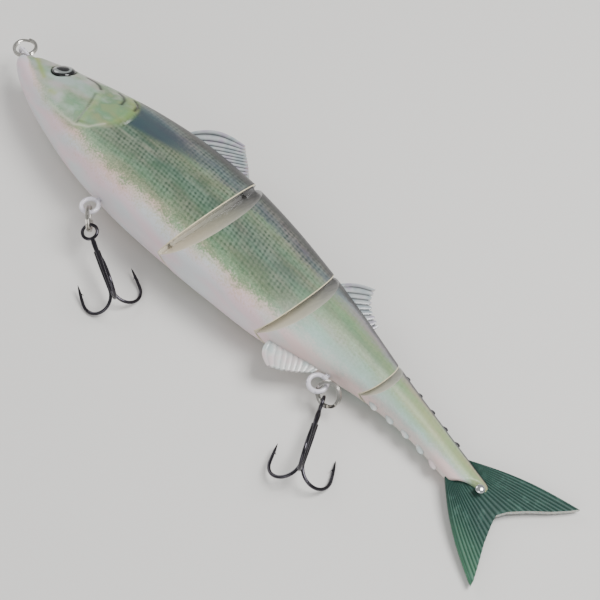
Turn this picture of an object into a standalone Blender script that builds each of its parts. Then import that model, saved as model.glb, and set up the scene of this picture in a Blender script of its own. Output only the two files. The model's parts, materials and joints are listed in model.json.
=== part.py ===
"""Four-section hard-bodied swimbait, lying on its right flank.

The fish is modelled straight: X runs from the jaw to the tail, Y from the belly to the back, and
Z from the right flank to the left. Empties on the three joint pins then lay the sections down.
"""

import math

import bmesh
import bpy
from mathutils import Matrix, Vector

MM = 0.001

# Where the straight fish stands in the world
JAW_TO_ORIGIN = Vector((-120.56, 7.27, 12.64)) * MM
HEAD_PITCH = -1.4
JOINT_BENDS = (5.6, 2.2, -1.3)

# Outline of the body in mm: distance from the jaw, back, belly, half width, widest line
BODY_STATIONS = (
    (0.0, 2.8, -4.6, 4.4, -0.8),
    (6.0, 3.5, -6.4, 6.0, -1.2),
    (12.0, 5.0, -8.7, 7.8, -2.2),
    (20.0, 7.9, -11.3, 9.7, -3.0),
    (30.0, 10.8, -13.7, 11.4, -2.8),
    (45.0, 14.8, -16.7, 13.0, -1.6),
    (60.0, 18.2, -18.5, 13.8, 0.0),
    (80.0, 21.0, -19.4, 14.2, 0.8),
    (104.0, 21.4, -18.6, 14.2, 1.4),
    (124.0, 20.5, -16.5, 13.3, 2.0),
    (144.0, 18.3, -13.8, 11.6, 2.3),
    (162.0, 15.7, -8.6, 9.6, 3.4),
    (180.0, 12.4, -3.4, 7.4, 4.4),
    (200.0, 9.2, -1.5, 4.9, 3.8),
    (218.0, 6.6, -2.6, 3.3, 2.0),
    (229.0, 5.0, -2.6, 2.6, 1.2),
)
NOSE_ROUNDING = 8.0 * MM
PEDUNCLE_ROUNDING = 6.0 * MM
BODY_END = 229.0 * MM
BACK_POWER = 2.0
BELLY_POWER = 2.5
SEAM = 0.15 * MM
WALL = 2.0 * MM
GAP = 0.3 * MM

# V joints: the apex of each recess, the pin ahead of it and the tip of the nose behind it
RECESS_APEX = (101.6 * MM, 143.2 * MM, 179.6 * MM)
PIN_BEFORE_APEX = 2.0 * MM
TIP_AFTER_PIN = 3.2 * MM
RECESS_SLOPE = math.tan(math.radians(30.0))
NOSE_SLOPE = math.tan(math.radians(42.0))
JOINT_PINS = tuple(apex - PIN_BEFORE_APEX for apex in RECESS_APEX)
NOSE_TIPS = tuple(pin + TIP_AFTER_PIN for pin in JOINT_PINS)
PIN_RADIUS = 0.9 * MM
EYE_WIRE = 0.6 * MM
EYE_RING = 2.0 * MM
EYE_STEM = 9.0 * MM
STEM_SHARE = 0.86
EYE_INSET = 4.6 * MM
PIN_INSET = 1.9 * MM
RECESS_BLOCK = 7.0 * MM
NOSE_BLOCK = 9.5 * MM

# Fins, in mm from the jaw and above the middle line
FIN_THICKNESS = 1.6 * MM
FIN_BEVEL = 0.35 * MM
FRONT_FIN = ((66.5, 15.0), (66.5, 19.6), (72.5, 26.6), (77.0, 29.4), (84.0, 30.6), (88.0, 28.4),
             (93.0, 26.0), (97.5, 22.6), (97.5, 21.9), (92.0, 21.9), (92.0, 15.0))
REAR_FIN = ((152.0, 11.6), (152.0, 17.9), (146.8, 18.8), (146.8, 20.4), (151.0, 23.4),
            (155.6, 25.2), (155.6, 21.8), (159.0, 19.4), (166.5, 17.4), (166.5, 11.6))
ANAL_FIN = ((152.0, -6.4), (152.0, -12.6), (148.2, -13.9), (150.4, -17.4), (153.6, -18.8),
            (157.6, -17.2), (162.4, -12.8), (165.0, -9.8), (165.0, -4.0), (160.0, -5.4))
FIN_ROOTS = {
    "front_dorsal_fin": (66.5, 92.0, 15.0, 24.0),
    "rear_dorsal_fin": (152.0, 166.5, 11.6, 20.0),
    "anal_fin": (152.0, 165.0, -14.0, -4.0),
}
TAIL_THICKNESS = 2.0 * MM
TAIL_SLOT_START = 213.5 * MM
TAIL_FIN = ((214.5, 4.6), (218.0, 7.6), (228.0, 12.8), (240.0, 17.8), (249.6, 20.6),
            (248.0, 18.2), (240.0, 8.6), (236.2, 3.0), (235.2, 0.4), (236.2, -2.6),
            (239.0, -8.6), (244.0, -17.0), (245.4, -20.4), (242.0, -19.4), (234.0, -14.6),
            (226.0, -8.8), (219.6, -3.4), (214.5, -0.4))
TAIL_FLEX_LINE = 232.0 * MM
TAIL_FLEX_GAP = 0.6 * MM
TAIL_PIN = (226.6 * MM, 1.6 * MM)
TAIL_PIN_RADIUS = 0.8 * MM
TAIL_PIN_HEAD = 1.45 * MM
FINLET_STATIONS = (185.5, 192.0, 198.5, 205.0, 211.0)

# Eyes
EYE_STATION = 24.2 * MM
EYE_HEIGHT = 2.4 * MM
EYE_RADIUS = 4.1 * MM
EYE_SOCKET_DEPTH = 2.2 * MM

# Wire hangers, split rings and treble hooks
HANGER_RING = 2.85 * MM
HANGER_WIRE = 0.75 * MM
HANGER_STEM = 12.0 * MM
LINE_TIE = Vector((-0.7, 1.4, 0.0)) * MM
LINE_TIE_RING = 2.5 * MM
LINE_TIE_WIRE = 0.7 * MM
FRONT_HANGER = Vector((71.6, -23.2, 0.0)) * MM
REAR_HANGER = Vector((169.4, -10.6, 0.0)) * MM
SPLIT_RING = 3.9 * MM
SPLIT_RING_RADIAL = 0.55 * MM
SPLIT_RING_HALF_WIDTH = 0.8 * MM
HOOK_EYE = 2.5 * MM
HOOK_WIRE = 0.55 * MM
HOOK_LENGTH = 27.0 * MM
HOOK_GAPE = 11.0 * MM
HOOK_POINT_RISE = 12.5 * MM
HOOK_BEND = 5.3 * MM

LINK_CLEARANCE = 0.55 * MM
HOOK_EYE_SLACK = 0.5 * MM

# How the rings and hooks lie: where each wire touches, and the way each piece points from there
FRONT_TOUCH = Vector((0.749, -0.662, 0.0))
FRONT_RING_AXIS = Vector((0.662, 0.749, 0.0))
FRONT_RING_WAY = Vector((0.61, -0.54, -0.58))
FRONT_HOOK_WAY = Vector((0.91, -0.33, -0.23))
REAR_TOUCH = Vector((1.0, 0.0, 0.0))
REAR_RING_AXIS = Vector((0.0, -0.8, 0.6))
REAR_RING_WAY = Vector((1.0, 0.0, 0.0))
REAR_HOOK_TOUCH = Vector((0.0, -0.6, -0.8))
REAR_HOOK_WAY = Vector((0.53, -0.84, 0.15))
TIE_TOUCH = Vector((-1.0, 0.0, 0.0))
TIE_RING_AXIS = Vector((0.0, 0.0, 1.0))
TIE_RING_WAY = Vector((-0.1, 0.995, 0.0))

BALLAST_RADIUS = 3.6 * MM
BALLAST_HALF_LENGTH = 6.0 * MM

PARTS = "swimbait"
CUTTERS = "swimbait_cutters"


def clear_scene():
    for item in list(bpy.data.objects):
        bpy.data.objects.remove(item, do_unlink=True)


def collection(name):
    made = bpy.data.collections.new(name)
    bpy.context.scene.collection.children.link(made)
    return made


def finish(name, red, green, blue, roughness, metallic=0.0):
    material = bpy.data.materials.new(name)
    material.use_nodes = True
    shader = material.node_tree.nodes["Principled BSDF"]
    shader.inputs["Base Color"].default_value = (red, green, blue, 1.0)
    shader.inputs["Roughness"].default_value = roughness
    shader.inputs["Metallic"].default_value = metallic
    return material


def add_object(name, mesh, home, material=None, parent=None):
    made = bpy.data.objects.new(name, mesh)
    bpy.data.collections[home].objects.link(made)
    if material:
        mesh.materials.append(material)
    if parent:
        made.parent = parent
        made.location = -Vector(parent["straight"])
    if home == CUTTERS:
        made.hide_render = True
        made.display_type = "WIRE"
    return made


def mesh_from(name, shape, smooth=True):
    bmesh.ops.recalc_face_normals(shape, faces=shape.faces)
    mesh = bpy.data.meshes.new(name)
    shape.to_mesh(mesh)
    shape.free()
    if smooth:
        mesh.shade_smooth()
        mesh.set_sharp_from_angle(angle=math.radians(40.0))
    return mesh


def at_station(column, place):
    """Read one column of the body table with a smooth curve through its stations."""
    rows = BODY_STATIONS
    place = min(max(place / MM, rows[0][0]), rows[-1][0])
    last = len(rows) - 2
    index = 0
    while index < last and rows[index + 1][0] < place:
        index += 1

    def slope(row):
        before = rows[max(row - 1, 0)]
        after = rows[min(row + 1, len(rows) - 1)]
        return (after[column] - before[column]) / (after[0] - before[0])

    start, end = rows[index], rows[index + 1]
    span = end[0] - start[0]
    t = (place - start[0]) / span
    value = (2 * t**3 - 3 * t**2 + 1) * start[column]
    value += (t**3 - 2 * t**2 + t) * span * slope(index)
    value += (3 * t**2 - 2 * t**3) * end[column]
    value += (t**3 - t**2) * span * slope(index + 1)
    return value * MM


def end_rounding(place):
    """Shrink the section towards the jaw and towards the end of the tail wrist."""
    if place < NOSE_ROUNDING:
        lack = 1.0 - max(place, 0.0) / NOSE_ROUNDING
        return math.sqrt(max(1.0 - lack * lack, 0.0))
    start = BODY_END - PEDUNCLE_ROUNDING
    if place > start:
        lack = min((place - start) / PEDUNCLE_ROUNDING, 1.0)
        return math.sqrt(max(1.0 - lack * lack, 0.0))
    return 1.0


def section_point(place, angle, inset=0.0):
    """Height and half width of the body at a station, for an angle from belly to back."""
    shrink = end_rounding(place)
    widest = at_station(4, place)
    back = widest + (at_station(1, place) - widest) * shrink - inset
    belly = widest + (at_station(2, place) - widest) * shrink + inset
    half = at_station(3, place) * shrink - inset
    sine, cosine = math.sin(angle), math.cos(angle)
    power = BACK_POWER if sine > 0 else BELLY_POWER
    reach = abs(sine) ** (2.0 / power)
    height = widest + (back - widest) * reach if sine > 0 else widest + (belly - widest) * reach
    return height, half * abs(cosine) ** (2.0 / power)


def body_loft(name, front, rear, steps, around, inset=0.0, plane=0.0, both=False):
    """Loft a closed half, or with both sides, between two ends that depend on the half width."""
    shape = bmesh.new()
    sides = (1.0, -1.0) if both else (1.0,)
    rings = []
    for step in steps:
        ring = []
        for side in sides:
            for index in range(around + 1):
                angle = math.radians(-90.0 + 180.0 * index / around) * side
                if both and index in (0, around) and side < 0:
                    continue
                half = 0.0
                place = front(0.0)
                for _ in range(12):
                    place = front(half) * (1.0 - step) + rear(half) * step
                    height, half = section_point(place, angle, inset)
                across = side * half if both else max(plane, half)
                ring.append(shape.verts.new((place, height, across)))
        rings.append(ring)
    count = len(rings[0])
    for first, second in zip(rings, rings[1:]):
        for index in range(count):
            after = (index + 1) % count
            shape.faces.new((first[index], first[after], second[after], second[index]))
    shape.faces.new(rings[0])
    shape.faces.new(rings[-1])
    bmesh.ops.triangulate(shape, faces=shape.faces)
    return mesh_from(name, shape)


def box(name, low, high):
    shape = bmesh.new()
    bmesh.ops.create_cube(shape, size=1.0)
    low, high = Vector(low), Vector(high)
    bmesh.ops.scale(shape, verts=shape.verts, vec=high - low)
    bmesh.ops.translate(shape, verts=shape.verts, vec=(low + high) / 2)
    return mesh_from(name, shape, smooth=False)


def rod(name, start, end, radius, sides=12, tip_radius=None):
    start, end = Vector(start), Vector(end)
    along = end - start
    shape = bmesh.new()
    turn = along.to_track_quat("Z", "Y").to_matrix().to_4x4()
    bmesh.ops.create_cone(
        shape, cap_ends=True, segments=sides, radius1=radius,
        radius2=radius if tip_radius is None else tip_radius, depth=along.length,
        matrix=Matrix.Translation((start + end) / 2) @ turn)
    return mesh_from(name, shape)


def turned(name, profile, centre, axis, sides=16):
    """Spin a closed profile of (radius, height) about an axis."""
    shape = bmesh.new()
    verts = [shape.verts.new((radius, 0.0, height)) for radius, height in profile]
    edges = [shape.edges.new((verts[i], verts[(i + 1) % len(verts)])) for i in range(len(verts))]
    bmesh.ops.spin(shape, geom=verts + edges, cent=(0, 0, 0), axis=(0, 0, 1),
                   angle=2 * math.pi, steps=sides, use_merge=True)
    bmesh.ops.remove_doubles(shape, verts=shape.verts, dist=1e-6)
    turn = Vector(axis).to_track_quat("Z", "Y").to_matrix().to_4x4()
    bmesh.ops.transform(shape, matrix=Matrix.Translation(centre) @ turn, verts=shape.verts)
    return mesh_from(name, shape)


def ring(name, centre, axis, radius, wire, sides=16, wire_sides=6):
    circle = [(radius + wire * math.cos(2 * math.pi * (i + 0.5) / wire_sides),
               wire * math.sin(2 * math.pi * (i + 0.5) / wire_sides)) for i in range(wire_sides)]
    return turned(name, circle, centre, axis, sides)


def plate(name, outline, thickness):
    """Extrude a flat outline to both sides of the middle plane and round its edges."""
    shape = bmesh.new()
    verts = [shape.verts.new((x * MM, y * MM, -thickness / 2)) for x, y in outline]
    face = shape.faces.new(verts)
    made = bmesh.ops.extrude_face_region(shape, geom=[face])
    lifted = [item for item in made["geom"] if isinstance(item, bmesh.types.BMVert)]
    bmesh.ops.translate(shape, verts=lifted, vec=(0, 0, thickness))
    rims = [edge for edge in shape.edges if abs(edge.verts[0].co.z - edge.verts[1].co.z) < 1e-7]
    bmesh.ops.bevel(shape, geom=rims, offset=FIN_BEVEL, segments=1, profile=0.5,
                    affect="EDGES", material=-1, clamp_overlap=True)
    bmesh.ops.triangulate(shape, faces=shape.faces)
    return mesh_from(name, shape)


def wire_along(name, points, radius):
    """A bent wire as a bevelled curve, turned into a closed mesh."""
    curve = bpy.data.curves.new(name, "CURVE")
    curve.dimensions = "3D"
    curve.bevel_depth = radius
    curve.bevel_resolution = 2
    curve.use_fill_caps = True
    spline = curve.splines.new("POLY")
    spline.points.add(len(points) - 1)
    for point, place in zip(spline.points, points):
        point.co = (*place, 1.0)
    holder = bpy.data.objects.new(name, curve)
    bpy.context.scene.collection.objects.link(holder)
    graph = bpy.context.evaluated_depsgraph_get()
    mesh = bpy.data.meshes.new_from_object(holder.evaluated_get(graph))
    bpy.data.objects.remove(holder, do_unlink=True)
    shape = bmesh.new()
    shape.from_mesh(mesh)
    bmesh.ops.remove_doubles(shape, verts=shape.verts, dist=1e-6)
    return mesh_from(name, shape)


def combine(target, other, operation):
    step = target.modifiers.new(f"{operation.lower()} {other.name}", "BOOLEAN")
    step.operation = operation
    step.object = other
    step.solver = "EXACT"


def joined(name, meshes, material, parent):
    """One solid from overlapping shapes."""
    target = add_object(name, meshes[0], PARTS, material, parent)
    for index, mesh in enumerate(meshes[1:]):
        other = add_object(f"{name}_join_{index + 1}", mesh, CUTTERS, None, parent)
        combine(target, other, "UNION")
    return target


def screw_eye(name, centre, axis, radius, wire, stem_end, material, parent):
    """A wire ring with a straight stem that ends inside the body."""
    towards = (Vector(stem_end) - Vector(centre)).normalized()
    start = Vector(centre) + towards * radius
    return joined(name, [ring(name, centre, axis, radius, wire),
                         rod(f"{name}_stem", start, stem_end, wire * STEM_SHARE, sides=10)],
                  material, parent)


def frame_at(name, pin, parent, turn):
    """An empty on a joint axis; its children keep the straight fish's coordinates."""
    empty = bpy.data.objects.new(name, None)
    bpy.data.collections[PARTS].objects.link(empty)
    empty["straight"] = pin
    if parent:
        empty.parent = parent
        empty.location = pin - Vector(parent["straight"])
    empty.rotation_euler = (0.0, math.radians(turn), 0.0)
    return empty


def steps(count, dense_start=False):
    spaced = [index / count for index in range(count + 1)]
    return [value**1.7 for value in spaced] if dense_start else spaced


def section_shells(name, front, rear, cavity_front, cavity_rear, frame, cutters, bosses, paint,
                   count, dense=False, wall=WALL):
    """Both half shells of a section, with the cavity, bores and slots cut from each."""
    cavity = add_object(f"{name}_cavity", body_loft(
        f"{name}_cavity", cavity_front, cavity_rear, steps(6), 8, inset=wall, both=True),
        CUTTERS, None, frame)
    for index, mesh in enumerate(bosses):
        boss = add_object(f"{name}_boss_{index + 1}", mesh, CUTTERS, None, frame)
        combine(cavity, boss, "DIFFERENCE")
    holes = [add_object(f"{name}_hole_{index + 1}", mesh, CUTTERS, None, frame)
             for index, mesh in enumerate(cutters)]
    left_mesh = body_loft(f"{name}_shell_left", front, rear, steps(count, dense), 12, plane=SEAM)
    right_mesh = left_mesh.copy()
    shape = bmesh.new()
    shape.from_mesh(right_mesh)
    bmesh.ops.scale(shape, verts=shape.verts, vec=(1.0, 1.0, -1.0))
    right_mesh = mesh_from(f"{name}_shell_right", shape)
    shells = []
    for side, mesh in (("left", left_mesh), ("right", right_mesh)):
        shell = add_object(f"{name}_shell_{side}", mesh, PARTS, paint, frame)
        for hole in [cavity] + holes:
            combine(shell, hole, "DIFFERENCE")
        shells.append(shell)
    return shells


def recess(index, back=0.0):
    return lambda half: RECESS_APEX[index] - back + RECESS_SLOPE * abs(half)


def nose(index, inwards=0.0):
    return lambda half: NOSE_TIPS[index] + inwards + NOSE_SLOPE * abs(half)


def pin_heights(index):
    pin = JOINT_PINS[index]
    return at_station(2, pin) + PIN_INSET, at_station(1, pin) - PIN_INSET


def eye_heights(index):
    pin = JOINT_PINS[index]
    return at_station(2, pin) + EYE_INSET, at_station(1, pin) - EYE_INSET


def pin_and_slots(index):
    """Cutters in the leading section: the pin's bore and one slot for each hinge eye."""
    pin = JOINT_PINS[index]
    low, high = pin_heights(index)
    made = [rod(f"joint_{index + 1}_bore", (pin, low - GAP, 0), (pin, high + GAP, 0),
                PIN_RADIUS + GAP)]
    reach = EYE_RING + EYE_WIRE + 0.6 * MM
    for height in eye_heights(index):
        made.append(box(f"joint_{index + 1}_slot",
                        (pin - reach, height - EYE_WIRE - 0.5 * MM, -reach),
                        (pin + reach + 4 * MM, height + EYE_WIRE + 0.5 * MM, reach)))
    return made


def stem_bores(index):
    """Cutters in the following section: the bores that hold the hinge eyes' stems."""
    tip = NOSE_TIPS[index]
    return [rod(f"joint_{index + 1}_stem_bore", (tip - 2 * MM, height, 0),
                (tip + EYE_STEM - 2 * MM, height, 0), EYE_WIRE + GAP)
            for height in eye_heights(index)]


def fin_slot(name):
    """The pocket that a fin's root stands in."""
    start, end, low, high = FIN_ROOTS[name]
    reach = FIN_THICKNESS / 2 + GAP
    return box(f"{name}_slot", (start * MM - GAP, low * MM - GAP, -reach),
               (end * MM + GAP, high * MM + GAP, reach))


def hinge(index, steel, leading, following):
    pin = JOINT_PINS[index]
    low, high = pin_heights(index)
    add_object(f"joint_{index + 1}_pin", rod(f"joint_{index + 1}_pin", (pin, low, 0),
               (pin, high, 0), PIN_RADIUS), PARTS, steel, leading)
    lower, upper = eye_heights(index)
    for which, height in (("lower", lower), ("upper", upper)):
        screw_eye(f"joint_{index + 1}_eye_{which}", (pin, height, 0), (0, 1, 0), EYE_RING,
                  EYE_WIRE, (NOSE_TIPS[index] + EYE_STEM - 2.6 * MM, height, 0), steel, following)


def eye_frame():
    """Centre and outward normal of the eye on the left cheek."""
    angle = 0.0
    for _ in range(40):
        height, _half = section_point(EYE_STATION, angle)
        angle += (EYE_HEIGHT - height) / (12 * MM) * 0.5
    def at(place, turn):
        height, half = section_point(place, turn)
        return Vector((place, height, half))
    along = at(EYE_STATION + 1 * MM, angle) - at(EYE_STATION - 1 * MM, angle)
    around = at(EYE_STATION, angle + 0.05) - at(EYE_STATION, angle - 0.05)
    return at(EYE_STATION, angle), along.cross(around).normalized()


def eyes(frame, foil, clear):
    centre, normal = eye_frame()
    sockets = []
    for side, sign in (("left", 1.0), ("right", -1.0)):
        middle = Vector((centre.x, centre.y, centre.z * sign))
        out = Vector((normal.x, normal.y, normal.z * sign))
        floor = middle - out * EYE_SOCKET_DEPTH
        sockets.append(rod(f"eye_socket_{side}", floor, middle + out * 4 * MM,
                           EYE_RADIUS + GAP, 24))
        low = floor + out * GAP
        disc = rod(f"eye_disc_{side}", low, low + out * 0.5 * MM, EYE_RADIUS, 24)
        add_object(f"eye_disc_{side}", disc, PARTS, foil, frame)
        base = low + out * 0.8 * MM
        rise = 2.0 * MM
        profile = [(1e-6, 0.0), (EYE_RADIUS, 0.0)]
        profile += [(EYE_RADIUS * math.cos(math.radians(a)), 0.5 * MM + rise * math.sin(
            math.radians(a))) for a in range(0, 90, 30)]
        profile.append((1e-6, 0.5 * MM + rise))
        dome = turned(f"eye_dome_{side}", profile, base, out)
        add_object(f"eye_dome_{side}", dome, PARTS, clear, frame)
    return sockets


def split_ring(name, centre, axis, steel, frame):
    """The two flat coils of a split ring, as one turned ring of their outer shape."""
    wide, thick, corner = SPLIT_RING_HALF_WIDTH, SPLIT_RING_RADIAL, 0.2 * MM
    profile = [(thick, -wide + corner), (thick, wide - corner), (thick - corner, wide),
               (corner - thick, wide), (-thick, wide - corner), (-thick, corner - wide),
               (corner - thick, -wide), (thick - corner, -wide)]
    profile = [(SPLIT_RING + across, along) for across, along in profile]
    add_object(name, turned(name, profile, centre, axis, 20), PARTS, steel, frame)


def prong(name, turn):
    """One barbless J of wire: down the shank, round the bend and up to the point."""
    inner = HOOK_GAPE - 2 * HOOK_BEND
    bend = HOOK_LENGTH - HOOK_BEND
    path = [(bend * 0.55, 0.3 * MM), (bend, inner)]
    for index in range(1, 9):
        angle = math.pi * index / 9
        path.append((bend + HOOK_BEND * math.sin(angle),
                     inner + HOOK_BEND * (1 - math.cos(angle))))
    path.append((bend, HOOK_GAPE))
    path.append((HOOK_LENGTH - HOOK_POINT_RISE, HOOK_GAPE - 0.5 * MM))
    points = [Matrix.Rotation(turn, 3, "X") @ Vector((x, 0.0, out)) for x, out in path]
    return wire_along(name, points, HOOK_WIRE)


def treble_hook(name, eye, way, eye_axis, steel, frame):
    """Eye, shank and three prongs brazed into one solid; the third prong points up."""
    along = Vector(way).normalized()
    up = (Vector((0, 0, 1)) - along * along.z).normalized()
    side = up.cross(along)
    turn = Matrix((along, side, up)).transposed().to_4x4()
    place = Matrix.Translation(eye) @ turn
    meshes = [rod(f"{name}_shank", (HOOK_EYE, 0, 0), (HOOK_LENGTH * 0.62, 0, 0),
                  HOOK_WIRE * 1.7)]
    meshes += [prong(f"{name}_prong_{index + 1}", math.radians(120.0 * index))
               for index in range(3)]
    for mesh in meshes:
        mesh.transform(place)
    flat = Vector(eye_axis)
    flat = (flat - along * flat.dot(along)).normalized()
    meshes.insert(1, ring(f"{name}_eye", eye, flat, HOOK_EYE, HOOK_WIRE, 16))
    joined(name, meshes, steel, frame)


def hook_set(which, hanger, touch, ring_axis, ring_way, hook_touch, hook_way, steel, dark, frame):
    """The split ring on a hanger and the treble hook on the ring, each on its own pivot."""
    contact = hanger + touch * HANGER_RING
    slack = SPLIT_RING - SPLIT_RING_RADIAL - HANGER_WIRE - LINK_CLEARANCE
    centre = contact + ring_way.normalized() * slack
    ring_frame = frame_at(f"{which}_ring_axis", contact, frame, 0.0)
    split_ring(f"{which}_split_ring", centre, ring_axis, steel, ring_frame)
    hook_way = hook_way.normalized()
    hook_contact = centre + hook_touch.normalized() * SPLIT_RING
    eye = hook_contact + hook_way * HOOK_EYE_SLACK
    hook_frame = frame_at(f"{which}_hook_axis", hook_contact, ring_frame, 0.0)
    eye_axis = ring_axis.cross(hook_touch.normalized())
    treble_hook(f"{which}_treble_hook", eye, hook_way, eye_axis, dark, hook_frame)


def ballast(which, place, lead, frame):
    add_object(f"{which}_ballast", rod(f"{which}_ballast", place - Vector((0, 0, BALLAST_HALF_LENGTH)),
               place + Vector((0, 0, BALLAST_HALF_LENGTH)), BALLAST_RADIUS), PARTS, lead, frame)


def around_ballast(place):
    """The moulded tube that holds a ballast slug, and the bore that the slug lies in."""
    reach = Vector((0, 0, BALLAST_HALF_LENGTH))
    tube = rod("ballast_tube", place - reach * 2.6, place + reach * 2.6, BALLAST_RADIUS + 1.6 * MM)
    grown = reach + Vector((0, 0, GAP))
    bore = rod("ballast_bore", place - grown, place + grown, BALLAST_RADIUS + GAP)
    return tube, bore


def around_stem(start, end, wire):
    tube = rod("stem_tube", start, end, wire + 1.8 * MM)
    bore = rod("stem_bore", start, end, wire + GAP)
    return tube, bore


def finlets(frame, paint, shells):
    """Half finlets along the back and belly of the tail section, joined to each shell."""
    for shell, sign in zip(shells, (1.0, -1.0)):
        shape = bmesh.new()
        for station in FINLET_STATIONS:
            for column, inset in ((1, 0.9), (2, -0.9)):
                height = at_station(column, station * MM) - inset * MM * 0.2
                lump = bmesh.ops.create_uvsphere(shape, u_segments=6, v_segments=4, radius=1.0)
                bmesh.ops.scale(shape, verts=lump["verts"],
                                vec=(1.9 * MM, 1.5 * MM, 0.9 * MM))
                bmesh.ops.translate(shape, verts=lump["verts"], vec=(
                    station * MM, height, SEAM + 0.1 * MM))
        bmesh.ops.bisect_plane(
            shape, geom=list(shape.verts) + list(shape.edges) + list(shape.faces),
            plane_co=(0, 0, SEAM + 0.1 * MM), plane_no=(0, 0, -1), clear_outer=True)
        open_edges = [edge for edge in shape.edges if edge.is_boundary]
        bmesh.ops.holes_fill(shape, edges=open_edges, sides=0)
        bmesh.ops.scale(shape, verts=shape.verts, vec=(1, 1, sign))
        row = add_object(f"finlets_{'left' if sign > 0 else 'right'}", mesh_from("finlets", shape),
                         CUTTERS, None, frame)
        combine(shell, row, "UNION")


def cut_mesh(name, mesh, cutters):
    """Cut a plate with rods or boxes, as live modifiers on its object."""
    for index, cutter in enumerate(cutters):
        other = add_object(f"{name}_cut_{index + 1}", cutter, CUTTERS, None, mesh.parent)
        combine(mesh, other, "DIFFERENCE")


def tail_fin(frame, rubber):
    """The soft fork in two solids: the root on the wrist and the blade that bends behind it."""
    pin_x, pin_y = TAIL_PIN
    root = add_object("tail_fin_root", plate("tail_fin_root", TAIL_FIN, TAIL_THICKNESS),
                      PARTS, rubber, frame)
    big = 60 * MM
    flex = TAIL_FLEX_LINE
    cut_mesh("tail_fin_root", root, [
        box("behind", (flex - TAIL_FLEX_GAP / 2, -big, -big), (flex + big, big, big)),
        rod("pin_hole", (pin_x, pin_y, -big / 10), (pin_x, pin_y, big / 10),
            TAIL_PIN_RADIUS + GAP)])
    blade_frame = frame_at("tail_flex_axis", Vector((flex, 0, 0)), frame, 0.0)
    blade = add_object("tail_fin_blade", plate("tail_fin_blade", TAIL_FIN, TAIL_THICKNESS),
                       PARTS, rubber, blade_frame)
    cut_mesh("tail_fin_blade", blade, [
        box("ahead", (flex - big, -big, -big), (flex + TAIL_FLEX_GAP / 2, big, big))])


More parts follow.
